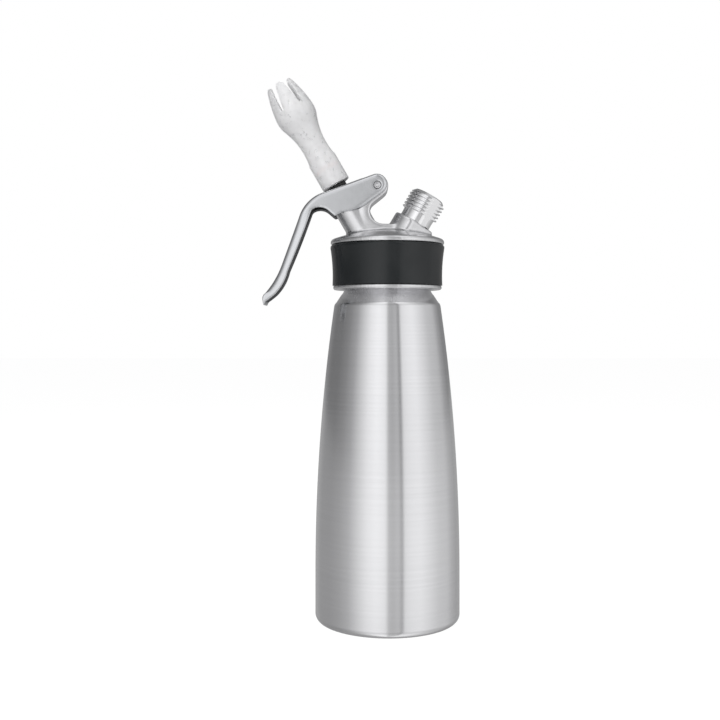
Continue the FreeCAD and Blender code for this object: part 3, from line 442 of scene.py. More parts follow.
def made_plain(carrier: bpy.types.Object, modifier: bpy.types.Modifier) -> bpy.types.Mesh:
    """Return what a carrier's modifier makes as a plain mesh, and remove the carrier."""
    depsgraph = bpy.context.evaluated_depsgraph_get()
    plain = bpy.data.meshes.new_from_object(carrier.evaluated_get(depsgraph))
    carrier.modifiers.remove(modifier)
    bpy.data.objects.remove(carrier)
    return plain


def round_rims(piece: bpy.types.Object, width: float, segments: int, sharp_degrees: float) -> None:
    """Round the edges of a piece that are sharper than an angle."""
    bevel = piece.modifiers.new("soft_rims", "BEVEL")
    bevel.width = width
    bevel.segments = segments
    bevel.limit_method = "ANGLE"
    bevel.angle_limit = math.radians(sharp_degrees)


class Workshop:
    """Holds the frame and the finishes, and hands over finished pieces."""

    def __init__(self, frame: dict) -> None:
        """Make every finish once.
        """
        self.frame = frame
        effects = SurfaceEffects()
        self.finishes = {finish.slot: finish.material(effects) for finish in FINISHES}

    def dress_nodes(self) -> None:
        """Give every CAD node the finish of its slot."""
        for name, node in self.frame["nodes"].items():
            for slot in node.material_slots:
                key = slot.material.name.split(".")[0]
                slot.material = self.finishes[key]
            LOG.info("dressed %s", name)

    def hand_over(
        self, name: str, mesh: bpy.types.Mesh, body: str, slot: str, node: str = ""
    ) -> bpy.types.Object:
        """Put a finished mesh in the scene, in place of a CAD node if one is named.

        Args:
            name: the piece's name.
            mesh: the piece's mesh, in place.
            body: the body that it rides on.
            slot: the material slot of its finish.
            node: the CAD node that it replaces, if any.

        Returns:
            The new object.
        """
        mesh.name = name
        for face in mesh.polygons:
            face.use_smooth = True
        mesh.materials.clear()
        mesh.materials.append(self.finishes[slot])
        piece = placed(name, mesh)
        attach(piece, body)
        if node:
            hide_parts(node)
        LOG.info("made %s with %d faces", name, len(mesh.polygons))
        return piece


def arc_points(middle: Point, radius: float, start: float, end: float, count: int) -> list[Point]:
    """Return points along an arc, angles in degrees from the first axis."""
    points = []
    for step in range(count + 1):
        angle = math.radians(start + (end - start) * step / count)
        points.append((middle[0] + radius * math.cos(angle), middle[1] + radius * math.sin(angle)))
    return points


def arc_through(first: Point, last: Point, radius: float, hollow: bool, count: int) -> list[Point]:
    """Return points from first to last along an arc of a radius.

    Args:
        first: where the arc starts.
        last: where it ends.
        radius: the arc's radius.
        hollow: whether it bends towards the axis instead of away from it.
        count: number of steps.

    Returns:
        The points, both ends among them.
    """
    start, end = Vector(first), Vector(last)
    chord = end - start
    reach = math.sqrt(max(radius ** 2 - (chord.length / 2) ** 2, 0.0))
    across = Vector((-chord.y, chord.x)).normalized()
    outwards = -across if hollow else across
    middle = (start + end) / 2 + outwards * reach
    low = math.atan2(start.y - middle.y, start.x - middle.x)
    high = math.atan2(end.y - middle.y, end.x - middle.x)
    turn = (high - low + math.pi) % (2 * math.pi) - math.pi
    points = []
    for step in range(count + 1):
        angle = low + turn * step / count
        points.append((middle.x + radius * math.cos(angle), middle.y + radius * math.sin(angle)))
    return points


def profile_mesh(points: list[Point]) -> bpy.types.Mesh:
    """Return a mesh whose vertices are a profile's points, radius along X and height along Z."""
    mesh = bpy.data.meshes.new("profile")
    edges = [(number, number + 1) for number in range(len(points) - 1)]
    mesh.from_pydata([(radius, 0.0, height) for radius, height in points], edges, [])
    return mesh


class ShapeTrees:
    """Geometry node trees that turn, repeat and wind pieces."""

    def __init__(self) -> None:
        """Build each tree once."""
        self.lathe = self.lathe_tree()
        self.repeat = self.repeat_tree()
        self.winding = self.winding_tree()

    def lathe_tree(self) -> bpy.types.NodeTree:
        """Return the tree that turns a profile around the Z axis."""
        maker, start, end = new_group(
            "turn_profile",
            "GeometryNodeTree",
            {
                "Profile": ("NodeSocketGeometry", None),
                "Segments": ("NodeSocketInt", 96),
                "Finish": ("NodeSocketMaterial", None),
            },
            {"Geometry": "NodeSocketGeometry"},
        )
        count = maker.add("GeometryNodeAttributeDomainSize", None, {"Geometry": start.outputs["Profile"]})
        rows = count.outputs["Point Count"]
        columns = maker.math("ADD", start.outputs["Segments"], 1.0)
        grid = maker.add("GeometryNodeMeshGrid", None, {"Vertices X": columns, "Vertices Y": rows})
        index = maker.add("GeometryNodeInputIndex").outputs[0]
        column = maker.math("FLOOR", maker.math("DIVIDE", maker.math("ADD", index, 0.5), rows))
        row = maker.math("SUBTRACT", index, maker.math("MULTIPLY", column, rows))
        sample = maker.add("GeometryNodeSampleIndex", {"data_type": "FLOAT_VECTOR"},
                           {"Geometry": start.outputs["Profile"], "Index": row})
        maker.join(maker.add("GeometryNodeInputPosition").outputs[0], sample.inputs["Value"])
        place = maker.add("ShaderNodeSeparateXYZ", None, {0: sample.outputs[0]})
        angle = maker.math("MULTIPLY", maker.math("DIVIDE", column, start.outputs["Segments"]), 2 * math.pi)
        spot = maker.add(
            "ShaderNodeCombineXYZ", None,
            {
                0: maker.math("MULTIPLY", place.outputs[0], maker.math("COSINE", angle)),
                1: maker.math("MULTIPLY", place.outputs[0], maker.math("SINE", angle)),
                2: place.outputs[2],
            },
        )
        bent = maker.add(
            "GeometryNodeSetPosition", None, {"Geometry": grid.outputs["Mesh"], "Position": spot.outputs[0]}
        )
        closed = maker.add(
            "GeometryNodeMergeByDistance", None, {"Geometry": bent.outputs[0], "Distance": MERGE_DISTANCE}
        )
        self.finish_tree(maker, closed.outputs[0], start, end)
        return maker.tree

    def repeat_tree(self) -> bpy.types.NodeTree:
        """Return the tree that sets copies of a sector around the Z axis and joins them."""
        maker, start, end = new_group(
            "repeat_around",
            "GeometryNodeTree",
            {
                "Sector": ("NodeSocketGeometry", None),
                "Copies": ("NodeSocketInt", 6),
                "First Turn": ("NodeSocketFloat", 0.0),
                "Finish": ("NodeSocketMaterial", None),
            },
            {"Geometry": "NodeSocketGeometry"},
        )
        points = maker.add("GeometryNodePoints", None, {"Count": start.outputs["Copies"]})
        index = maker.add("GeometryNodeInputIndex").outputs[0]
        share = maker.math("DIVIDE", index, start.outputs["Copies"])
        angle = maker.math("ADD", maker.math("MULTIPLY", share, 2 * math.pi), start.outputs["First Turn"])
        turn = maker.add("ShaderNodeCombineXYZ", None, {2: angle})
        copies = maker.add(
            "GeometryNodeInstanceOnPoints", None,
            {"Points": points.outputs[0], "Instance": start.outputs["Sector"], "Rotation": turn.outputs[0]},
        )
        real = maker.add("GeometryNodeRealizeInstances", None, {"Geometry": copies.outputs[0]})
        merged = maker.add(
            "GeometryNodeMergeByDistance", None,
            {"Geometry": real.outputs[0], "Distance": 2 * MERGE_DISTANCE},
        )
        self.finish_tree(maker, merged.outputs[0], start, end)
        return maker.tree

    def winding_tree(self) -> bpy.types.NodeTree:
        """Return the tree that winds a thread's ridge around the Z axis."""
        maker, start, end = new_group(
            "wind_thread",
            "GeometryNodeTree",
            {
                "Ridge": ("NodeSocketGeometry", None),
                "Radius": ("NodeSocketFloat", 0.01),
                "Turns": ("NodeSocketFloat", 3.0),
                "Rise": ("NodeSocketFloat", 0.01),
                "Finish": ("NodeSocketMaterial", None),
            },
            {"Geometry": "NodeSocketGeometry"},
        )
        spiral = maker.add(
            "GeometryNodeCurveSpiral", None,
            {"Resolution": 64, "Rotations": start.outputs["Turns"], "Start Radius": start.outputs["Radius"],
             "End Radius": start.outputs["Radius"], "Height": start.outputs["Rise"], "Reverse": False},
        )
        upright = maker.add("GeometryNodeSetCurveNormal", {"mode": "Z_UP"}, {"Curve": spiral.outputs[0]})
        ridge = maker.add("GeometryNodeMeshToCurve", None, {"Mesh": start.outputs["Ridge"]})
        swept = maker.add(
            "GeometryNodeCurveToMesh", None,
            {"Curve": upright.outputs[0], "Profile Curve": ridge.outputs[0], "Fill Caps": True},
        )
        self.finish_tree(maker, swept.outputs[0], start, end)
        return maker.tree

    def finish_tree(
        self, maker: TreeMaker, shape: object, start: bpy.types.Node, end: bpy.types.Node
    ) -> None:
        """End a tree with real geometry that has its finish."""
        real = maker.add("GeometryNodeRealizeInstances", None, {"Geometry": shape})
        coated = maker.add(
            "GeometryNodeSetMaterial", None,
            {"Geometry": real.outputs[0], "Material": start.outputs["Finish"]},
        )
        maker.join(coated.outputs[0], end.inputs["Geometry"])

    def run(self, tree: bpy.types.NodeTree, mesh: bpy.types.Mesh, values: dict) -> bpy.types.Mesh:
        """Run a tree on a mesh and return the plain result.

        Args:
            tree: the geometry tree.
            mesh: what goes into its first input.
            values: its other inputs by name.

        Returns:
            A new mesh without modifiers.
        """
        carrier = placed("carrier", mesh)
        modifier = carrier.modifiers.new("shape", "NODES")
        modifier.node_group = tree
        for item in tree.interface.items_tree:
            if item.item_type == "SOCKET" and item.in_out == "INPUT" and item.name in values:
                modifier[item.identifier] = values[item.name]
        return made_plain(carrier, modifier)


def face_outwards(mesh: bpy.types.Mesh) -> None:
    """Turn every face of a closed mesh outwards."""
    work = bmesh.new()
    work.from_mesh(mesh)
    bmesh.ops.recalc_face_normals(work, faces=work.faces)
    work.to_mesh(mesh)
    work.free()


def onto_valve_axis() -> Matrix:
    """Return the transform from upright along Z to the leaning valve axis."""
    return Matrix.Translation((0.0, 0.0, VALVE_FOOT)) @ Matrix.Rotation(-LEAN, 4, "Y")


@dataclass
class Bottle:
    """Deep-drawn bottle with a pressed foot, a long curved flank and a threaded neck."""

    radius: float = 46.0 * MM
    wall: float = 1.2 * MM
    foot_round: float = 5.0 * MM
    groove_radius: float = 35.0 * MM
    groove_width: float = 4.0 * MM
    groove_depth: float = 0.8 * MM
    straight_height: float = 31.5 * MM
    flank_radius: float = 1190.0 * MM
    shoulder_height: float = 200.0 * MM
    shoulder_round: float = 4.0 * MM
    cone_share: float = 0.2
    cone_rise: float = 0.27
    neck_radius: float = 26.5 * MM
    collar_radius: float = 27.6 * MM
    collar_flare: float = 1.9 * MM
    collar_round: float = 7.0 * MM
    collar_drop: float = 2.7 * MM
    collar_edge: float = 0.6 * MM
    collar_rise: float = 2.2 * MM
    neck_foot: float = 210.0 * MM
    neck_length: float = 22.0 * MM
    neck_wall: float = 2.2 * MM
    lip: float = 0.5 * MM
    thread_pitch: float = 4.0 * MM
    thread_depth: float = 1.6 * MM
    thread_start: float = 7.0 * MM
    thread_length: float = 12.0 * MM
    ridge_foot_share: float = 0.45
    ridge_crest_share: float = 0.23
    ridge_sink: float = 0.2 * MM
    segments: int = 192

    def outline(self) -> list[Point]:
        """Return the bottle's section, outside up and inside down."""
        drop = self.flank_radius - math.sqrt(
            self.flank_radius ** 2 - (self.shoulder_height - self.straight_height) ** 2
        )
        shoulder = self.radius - drop
        run = shoulder - self.neck_radius
        rise = self.neck_foot - self.shoulder_height
        cone = (shoulder - self.cone_share * run, self.shoulder_height + self.cone_rise * rise)
        top = self.neck_foot + self.neck_length
        floor = self.groove_depth + self.wall
        outside = [
            (0.0, 0.0),
            (self.groove_radius - self.groove_width, 0.0),
            (self.groove_radius - self.groove_width + self.groove_depth, self.groove_depth),
            (self.groove_radius - self.groove_depth, self.groove_depth),
            (self.groove_radius, 0.0),
        ]
        outside += arc_points((self.radius - self.foot_round, self.foot_round), self.foot_round, -90, 0, 14)
        outside += arc_through(
            (self.radius, self.straight_height), (shoulder, self.shoulder_height),
            self.flank_radius, False, 34,
        )
        outside += arc_through((shoulder, self.shoulder_height), cone, self.shoulder_round, False, 8)[1:]
        outside += arc_through(
            (self.collar_radius + self.collar_flare, self.neck_foot - self.collar_drop),
            (self.collar_radius, self.neck_foot + self.collar_edge), self.collar_round, True, 8,
        )
        outside.append((self.collar_radius, self.neck_foot + self.collar_rise))
        outside.append((self.neck_radius, self.neck_foot + self.collar_rise + self.collar_edge))
        outside += arc_points((self.neck_radius - self.lip, top - self.lip), self.lip, 0, 90, 4)
        inside = [
            (self.neck_radius - self.neck_wall, top),
            (self.neck_radius - self.neck_wall, self.neck_foot - self.lip),
            (shoulder - self.wall, self.shoulder_height),
        ]
        flank = arc_through(
            (self.radius - self.wall, self.straight_height), (shoulder - self.wall, self.shoulder_height),
            self.flank_radius - self.wall, False, 12,
        )
        inside += list(reversed(flank))[1:]
        corner = arc_points(
            (self.radius - self.foot_round, floor + self.foot_round - self.wall),
            self.foot_round - self.wall, 0, -90, 6,
        )
        return outside + inside + corner + [(0.0, floor)]

    def ridge(self) -> bpy.types.Mesh:
        """Return the section of the neck thread's ridge, buried a little in the neck."""
        foot = self.ridge_foot_share * self.thread_pitch / 2
        crest = self.ridge_crest_share * self.thread_pitch / 2
        corners = [
            (-self.ridge_sink, -foot), (self.thread_depth, -crest),
            (self.thread_depth, crest), (-self.ridge_sink, foot),
        ]
        mesh = bpy.data.meshes.new("neck_ridge")
        mesh.from_pydata([(x, y, 0.0) for x, y in corners], [(0, 1), (1, 2), (2, 3), (3, 0)], [])
        return mesh

    def build(self, shop: Workshop, trees: ShapeTrees) -> None:
        """Turn the bottle, wind its thread and hand the piece over."""
        finish = shop.finishes["bottle_steel"]
        shell = trees.run(
            trees.lathe, profile_mesh(self.outline()), {"Segments": self.segments, "Finish": finish}
        )
        face_outwards(shell)
        thread = trees.run(trees.winding, self.ridge(), {
            "Radius": self.neck_radius, "Turns": self.thread_length / self.thread_pitch,
            "Rise": self.thread_length, "Finish": finish,
        })
        thread.transform(Matrix.Translation((0.0, 0.0, self.neck_foot + self.thread_start)))
        face_outwards(thread)
        whole = joined_mesh([shell, thread])
        shop.hand_over("bottle_body", whole, "bottle", "bottle_steel", "bottle")


def joined_mesh(meshes: list[bpy.types.Mesh]) -> bpy.types.Mesh:
    """Return one mesh made of several."""
    work = bmesh.new()
    for mesh in meshes:
        work.from_mesh(mesh)
    whole = bpy.data.meshes.new("joined")
    work.to_mesh(whole)
    work.free()
    return whole


def merged_copy(node: bpy.types.Object) -> bpy.types.Mesh:
    """Return a copy of a CAD node's mesh with its loose triangles joined."""
    work = bmesh.new()
    work.from_mesh(node.data)
    bmesh.ops.remove_doubles(work, verts=work.verts, dist=MERGE_DISTANCE)
    mesh = bpy.data.meshes.new("merged")
    work.to_mesh(mesh)
    work.free()
    return mesh


def evened_grid(mesh: bpy.types.Mesh, voxel: float) -> bpy.types.Mesh:
    """Return a closed mesh rebuilt from small even faces of a size."""
    carrier = placed("carrier", mesh)
    modifier = carrier.modifiers.new("even_faces", "REMESH")
    modifier.mode = "VOXEL"
    modifier.voxel_size = voxel
    return made_plain(carrier, modifier)


def points_of(mesh: bpy.types.Mesh) -> np.ndarray:
    """Return a mesh's points, one row each."""
    places = np.empty(len(mesh.vertices) * 3)
    mesh.vertices.foreach_get("co", places)
    return places.reshape(-1, 3)


def put_points(mesh: bpy.types.Mesh, places: np.ndarray) -> None:
    """Move a mesh's points to new places."""
    mesh.vertices.foreach_set("co", places.ravel())
    mesh.update()


def soften(mesh: bpy.types.Mesh, freedom: np.ndarray, rounds: int) -> None:
    """Round the edges and corners of a mesh of small even faces.

    Args:
        mesh: the mesh.
        freedom: how freely each point moves, from 0 to 1.
        rounds: how many times each point moves towards its neighbours.
    """
    count = len(mesh.vertices)
    ends = np.empty(len(mesh.edges) * 2, dtype=np.int32)
    mesh.edges.foreach_get("vertices", ends)
    first, second = ends.reshape(-1, 2).T
    neighbours = np.bincount(ends, minlength=count)[:, None]
    places = points_of(mesh)
    for _ in range(rounds):
        total = np.empty_like(places)
        for axis in range(3):
            total[:, axis] = np.bincount(first, places[second, axis], count)
            total[:, axis] += np.bincount(second, places[first, axis], count)
        places += (total / neighbours - places) * 0.5 * freedom[:, None]
    put_points(mesh, places)


def mark_painted_shade(mesh: bpy.types.Mesh, levels: np.ndarray) -> None:
    """Write how much painted shade each point gets, from 0 to 1, into the mesh."""
    layer = mesh.attributes.new(PAINTED_SHADE_ATTRIBUTE, "FLOAT", "POINT")
    layer.data.foreach_set("value", levels.astype(np.float32))


def step_up(values: np.ndarray, low: float, high: float) -> np.ndarray:
    """Return 0 below low, 1 above high and a soft step between."""
    share = np.clip((values - low) / (high - low), 0.0, 1.0)
    return share * share * (3.0 - 2.0 * share)


@dataclass
class HeadCasting:
    """Cast head whose edges and corners run softly into each other.

    The pieces inside keep their seats: only what lies outside the bore is softened, and the bore gets
    painted shade.
    """

    voxel: float = 0.61 * MM
    rounds: int = 18
    inner_freedom: float = 0.1
    bore_radius: float = 30.6 * MM
    bore_foot: float = 213.0 * MM
    bore_top: float = 238.0 * MM
    rim_inside: float = 33.2 * MM
    rim_top: float = 243.5 * MM
    rim_freedom: float = 0.3

    def build(self, shop: Workshop) -> None:
        """Soften a copy of the casting, paint shade into its bore and hand it over."""
        mesh = evened_grid(merged_copy(shop.frame["nodes"]["head_casting"]), self.voxel)
        places = points_of(mesh)
        reach = np.hypot(places[:, 0], places[:, 1])
        outside = np.maximum(step_up(reach, self.bore_radius, self.bore_radius + MM),
                             step_up(places[:, 2], self.bore_top, self.bore_top + MM))
        rim = step_up(reach, self.rim_inside, self.rim_inside + MM)
        rim *= 1.0 - step_up(places[:, 2], self.rim_top - MM, self.rim_top)
        freedom = self.inner_freedom + (1.0 - self.inner_freedom) * outside
        soften(mesh, freedom * (1.0 - (1.0 - self.rim_freedom) * rim), self.rounds)
        # Painted shade: points inside the bore, above its foot, are marked darker.
        bore_shade = step_up(places[:, 2], self.bore_foot, self.bore_foot + 2 * MM)
        mark_painted_shade(mesh, (1.0 - outside) * bore_shade)
        shop.hand_over("head_body", mesh, "head", "cast_steel", "head_casting")


@dataclass
class SqueezeLever:
    """Pressed lever with rounded edges, a rounded back, and painted shade in its channel and round its pin
    hole.
    """

    voxel: float = 0.45 * MM
    rounds: int = 7
    toe: float = 203.0 * MM
    arm_top: float = 262.0 * MM
    blend: float = 14.0 * MM
    back_narrowing: float = 0.12
    toe_bend_from: float = 207.5 * MM
    toe_bend: float = 0.15
    widening: float = 1.5 * MM
    depth: float = 9.5 * MM
    slice_height: float = 0.8 * MM
    channel_shade_span: Point = (0.2, 0.7)
    hole_shade: float = 0.7 * MM

    def build(self, shop: Workshop) -> None:
        """Soften a copy of the lever, round its back, paint shade into its channel and hand it over."""
        mesh = evened_grid(merged_copy(shop.frame["nodes"]["lever"]), self.voxel)
        places = points_of(mesh)
        soften(mesh, np.ones(len(places)), self.rounds)
        self.round_back(mesh)
        places = points_of(mesh)
        # Painted shade: faces turned into the channel and a ring round the pin hole are marked darker.
        normals = np.empty(len(places) * 3)
        mesh.vertices.foreach_get("normal", normals)
        inwards = -normals.reshape(-1, 3)[:, 1] * np.sign(places[:, 1])
        from_pin = np.hypot(places[:, 0] - PIN_PLACE[0], places[:, 2] - PIN_PLACE[1])
        pin_hole_shade = 1.0 - step_up(from_pin, PIN_RADIUS, PIN_RADIUS + self.hole_shade)
        mark_painted_shade(mesh, np.maximum(step_up(inwards, *self.channel_shade_span), pin_hole_shade))
        shop.hand_over("lever_body", mesh, "lever", "lever_steel", "lever")

    def round_back(self, mesh: bpy.types.Mesh) -> None:
        """Draw the arm's sides together towards its back, fill its middle out and tilt its toe."""
        places = points_of(mesh)
        layer = ((places[:, 2] - self.toe) / self.slice_height).astype(int)
        layers = int((self.arm_top - self.toe) / self.slice_height)
        heights, backs = [], []
        for number in range(layers):
            inside = places[layer == number]
            if len(inside):
                heights.append(self.toe + (number + 0.5) * self.slice_height)
                backs.append(inside[:, 0].min())
        depth = places[:, 0] - np.interp(places[:, 2], heights, backs)
        left = np.clip(1.0 - depth / self.depth, 0.0, 1.0)
        amount = step_up(places[:, 2], self.toe, self.toe + self.blend)
        amount *= 1.0 - step_up(places[:, 2], self.arm_top - self.blend, self.arm_top)
        places[:, 1] *= 1.0 - self.back_narrowing * amount * left
        middle = np.sin(np.pi * np.clip((places[:, 2] - self.toe) / (self.arm_top - self.toe), 0.0, 1.0))
        places[:, 0] += self.widening * middle * np.clip(depth / self.depth, 0.0, 1.0)
        places[:, 0] -= self.toe_bend * np.clip(self.toe_bend_from - places[:, 2], 0.0, None)
        put_points(mesh, places)


@dataclass
class PivotPin:
    """Steel pin of the lever with a deep ring around a dome at both ends."""

    half_length: float = 12.5 * MM
    chamfer: float = 0.35 * MM
    sink_radius: float = 1.8 * MM
    sink_depth: float = 1.5 * MM
    dome_radius: float = 1.25 * MM
    dome_height: float = 1.1 * MM
    dome_turns: tuple[float, ...] = (0.35, 0.7, 1.05, 1.35)

    def build(self, shop: Workshop, trees: ShapeTrees) -> None:
        """Turn the pin, lay it across the lever and hand it over."""
        end = self.half_length
        upper = [
            (PIN_RADIUS, end - self.chamfer), (PIN_RADIUS - self.chamfer, end), (self.sink_radius, end),
            (self.sink_radius - 0.1 * MM, end - self.sink_depth), (self.dome_radius, end - self.sink_depth),
        ]
        upper += [
            (self.dome_radius * math.cos(turn), end - self.sink_depth + self.dome_height * math.sin(turn))
            for turn in self.dome_turns
        ]
        upper.append((0.0, end - self.sink_depth + self.dome_height))
        lower = [(radius, -height) for radius, height in reversed(upper)]
        finish = shop.finishes["polished_steel"]
        mesh = trees.run(trees.lathe, profile_mesh(lower + upper), {"Segments": 48, "Finish": finish})
        face_outwards(mesh)
        mesh.transform(
            Matrix.Translation((PIN_PLACE[0], 0.0, PIN_PLACE[1]))
            @ Matrix.Rotation(math.radians(90.0), 4, "X")
        )
        piece = shop.hand_over("pivot_pin", mesh, "head", "polished_steel", "lever_pin")
        round_rims(piece, 0.12 * MM, 2, 30.0)


@dataclass
class StemShadeRing:
    """Dark ring on the stem, painted shade for the shadowed gap under the nozzle's collar, in the black
    rubber finish.
    """

    bore: float = 4.05 * MM
    radius: float = 6.1 * MM
    foot: float = 63.05 * MM
    top: float = 65.0 * MM
    slant: float = 0.1
    rim: float = 0.3 * MM

    def build(self, shop: Workshop, trees: ShapeTrees) -> None:
        """Turn the ring, slant its underside and hand it over."""
        section = [
            (self.bore, self.foot), (self.radius - self.rim, self.foot), (self.radius, self.foot + self.rim),
            (self.radius, self.top - self.rim), (self.radius - self.rim, self.top), (self.bore, self.top),
            (self.bore, self.foot),
        ]
        finish = shop.finishes["seal_rubber"]
        mesh = trees.run(trees.lathe, profile_mesh(section), {"Segments": 64, "Finish": finish})
        for vertex in mesh.vertices:
            if vertex.co.z < self.foot + 2 * self.rim:
                vertex.co.z -= self.slant * vertex.co.x
        face_outwards(mesh)
        mesh.transform(onto_valve_axis())
        # Painted shade: a dark ring set where the gap under the nozzle lies in shadow.
        shop.hand_over("stem_shade_ring", mesh, "valve", "seal_rubber")


@dataclass
class TulipNozzle:
    """Frosted nozzle with a round collar, a slim waist and six petals."""

    start: float = 65.1 * MM
    collar_radius: float = 9.3 * MM
    collar_height: float = 18.5 * MM
    collar_step: float = 0.3 * MM
    collar_rim: float = 0.8 * MM
    waist_round: float = 46.8 * MM
    shoulder_inset: float = 1.55 * MM
    bulge_start: float = 44.9 * MM
    bulge_radius: float = 13.05 * MM
    bulge_height: float = 52.4 * MM
    bulge_round: float = 17.0 * MM
    petal_round: float = 80.0 * MM
    length: float = 73.6 * MM
    mouth_radius: float = 8.7 * MM
    wall: float = 1.5 * MM
    waist_wall: float = 2.6 * MM
    throat: float = 3.5 * MM
    throat_height: float = 9.0 * MM
    funnel_height: float = 16.0 * MM
    bore: float = 7.3 * MM
    bore_height: float = 11.2 * MM
    petals: int = 6
    slot_foot: float = 56.0 * MM
    slot_low: float = 2.2 * MM
    slot_high: float = 4.4 * MM
    tip_height: float = 2.3 * MM
    tip_share: float = 0.18
    first_turn: float = math.radians(30.0)
    columns: int = 14

    def outside(self, height: float) -> float:
        """Return the outer radius at a height over the nozzle's lower end."""
        shoulder = (self.bulge_radius - self.shoulder_inset, self.bulge_start)
        bulge = (self.bulge_radius, self.bulge_height)
        if height < self.collar_height:
            return self.collar_radius
        if height < self.bulge_start:
            waist = (self.collar_radius - self.collar_step, self.collar_height)
            path = arc_through(waist, shoulder, self.waist_round, True, 24)
        elif height < self.bulge_height:
            path = arc_through(shoulder, bulge, self.bulge_round, False, 12)
        else:
            path = arc_through(bulge, (self.mouth_radius, self.length), self.petal_round, False, 16)
        return radius_on(path, height)

    def inside(self, height: float) -> float:
        """Return the inner radius above the throat at a height over the nozzle's lower end."""
        funnel = self.bulge_start - self.funnel_height
        throat_end = self.bore_height + self.throat_height
        if height < funnel:
            share = max(0.0, (height - throat_end) / (funnel - throat_end))
            return self.throat + (self.outside(funnel) - self.waist_wall - self.throat) * share ** 2
        blend = min(1.0, (height - funnel) / (self.bulge_start - funnel))
        return self.outside(height) - (self.waist_wall + (self.wall - self.waist_wall) * blend)

    def half_turn(self, height: float) -> float:
        """Return half the angle that a petal keeps at a height."""
        full = math.pi / self.petals
        rise = height - self.slot_foot
        if rise <= 0.0:
            return full
        share = rise / (self.length - self.slot_foot)
        half_slot = (self.slot_low + (self.slot_high - self.slot_low) * share) / 2
        if rise < half_slot:
            half_slot = math.sqrt(max(half_slot ** 2 - (half_slot - rise) ** 2, 0.0))
        left = full - math.asin(half_slot / self.outside(height))
        tip = self.length - height
        if tip < self.tip_height:
            short = (self.tip_height - tip) / self.tip_height
            left *= math.sqrt(max(1.0 - short ** 2, 0.0)) * (1.0 - self.tip_share) + self.tip_share
        return left

    def sector(self) -> bpy.types.Mesh:
        """Return one sixth of the nozzle with its petal, open where its neighbours follow."""
        low_outer = [0.0, 0.25 * MM, self.collar_rim, 6.0 * MM, 12.0 * MM, self.collar_height - 0.01 * MM]
        steps = 16
        waist = self.collar_height + 0.02 * MM
        low_outer += [waist + (self.slot_foot - waist) * step / steps for step in range(steps + 1)]
        rounding = self.slot_low / 2
        high = [self.slot_foot + rounding * (1 - math.cos(math.pi / 2 * step / 8)) for step in range(1, 9)]
        base = self.length - self.tip_height
        rest = base - high[-1]
        high += [high[-1] + rest * step / 10 for step in range(1, 11)]
        high += [base + self.tip_height * math.sin(math.pi / 2 * step / 6) for step in range(1, 7)]
        drop = self.slot_foot - self.bore_height
        low_inner = [self.slot_foot - drop * step / 22 for step in range(1, 23)]
        verts, faces = [], []

        def row(radius: float, height: float, half: float) -> list[int]:
            """Add one row of points across the sector and return their numbers."""
            first = len(verts)
            for column in range(self.columns + 1):
                angle = half * (2 * column / self.columns - 1)
                verts.append((radius * math.cos(angle), radius * math.sin(angle), self.start + height))
            return list(range(first, first + self.columns + 1))

        def skin(rows: list[list[int]]) -> None:
            """Fill the faces between rows."""
            for lower, upper in zip(rows, rows[1:]):
                for column in range(self.columns):
                    faces.append((lower[column], lower[column + 1], upper[column + 1], upper[column]))

        full = math.pi / self.petals
        foot_round = {0.0: self.collar_rim, 0.25 * MM: 0.25 * MM}
        outer_low = [
            row(self.outside(height) - foot_round.get(height, 0.0), height, full) for height in low_outer
        ]
        outer_high = [row(self.outside(height), height, self.half_turn(height)) for height in high]
        inner_high = [
            row(self.outside(height) - self.wall, height, self.half_turn(height)) for height in high
        ]
        turn_in = row(self.outside(self.slot_foot) - self.wall, self.slot_foot, full)
        inner_low = [row(self.inside(height), height, full) for height in low_inner]
        step_row = row(self.bore, self.bore_height, full)
        foot_row = row(self.bore, 0.0, full)
        skin(outer_low + outer_high)
        skin([outer_high[-1], inner_high[-1]])
        skin(list(reversed(inner_high)) + [turn_in] + inner_low + [step_row, foot_row, outer_low[0]])
        for side in (0, self.columns):
            path = [(outer_low[-1][side], turn_in[side])]
            path += [(outer[side], inner[side]) for outer, inner in zip(outer_high, inner_high)]
            for (outer_a, inner_a), (outer_b, inner_b) in zip(path, path[1:]):
                faces.append((outer_a, outer_b, inner_b, inner_a))
        mesh = bpy.data.meshes.new("petal_sector")
        mesh.from_pydata(verts, [], faces)
        return mesh

    def build(self, shop: Workshop, trees: ShapeTrees) -> None:
        """Set the petals around, close the nozzle and hand it over."""
        finish = shop.finishes["frosted_plastic"]
        mesh = trees.run(
            trees.repeat, self.sector(),
            {"Copies": self.petals, "First Turn": self.first_turn, "Finish": finish},
        )
        face_outwards(mesh)
        mesh.transform(onto_valve_axis())
        piece = shop.hand_over("tulip_nozzle", mesh, "nozzle", "frosted_plastic", "nozzle_tip")
        round_rims(piece, 0.45 * MM, 3, 50.0)


def radius_on(path: list[Point], height: float) -> float:
    """Return the radius where a rising path passes a height."""
    for (low_radius, low), (high_radius, high) in zip(path, path[1:]):
        if low <= height <= high:
            share = (height - low) / (high - low)
            return low_radius + (high_radius - low_radius) * share
    return path[-1][0] if height > path[-1][1] else path[0][0]


@dataclass(frozen=True)
class Level:
    """Brightness of the studio's surround at a place.

    Attributes:
        place: degrees from the camera's side, or rise from -1 straight down to 1 straight up.
        light: the brightness there.
    """

    place: float
    light: float


@dataclass(frozen=True)
class PanelLamp:
    """A square panel lamp: its name, where it hangs, its side and its power in watts."""

    name: str
    place: Place
    size: float
    power: float


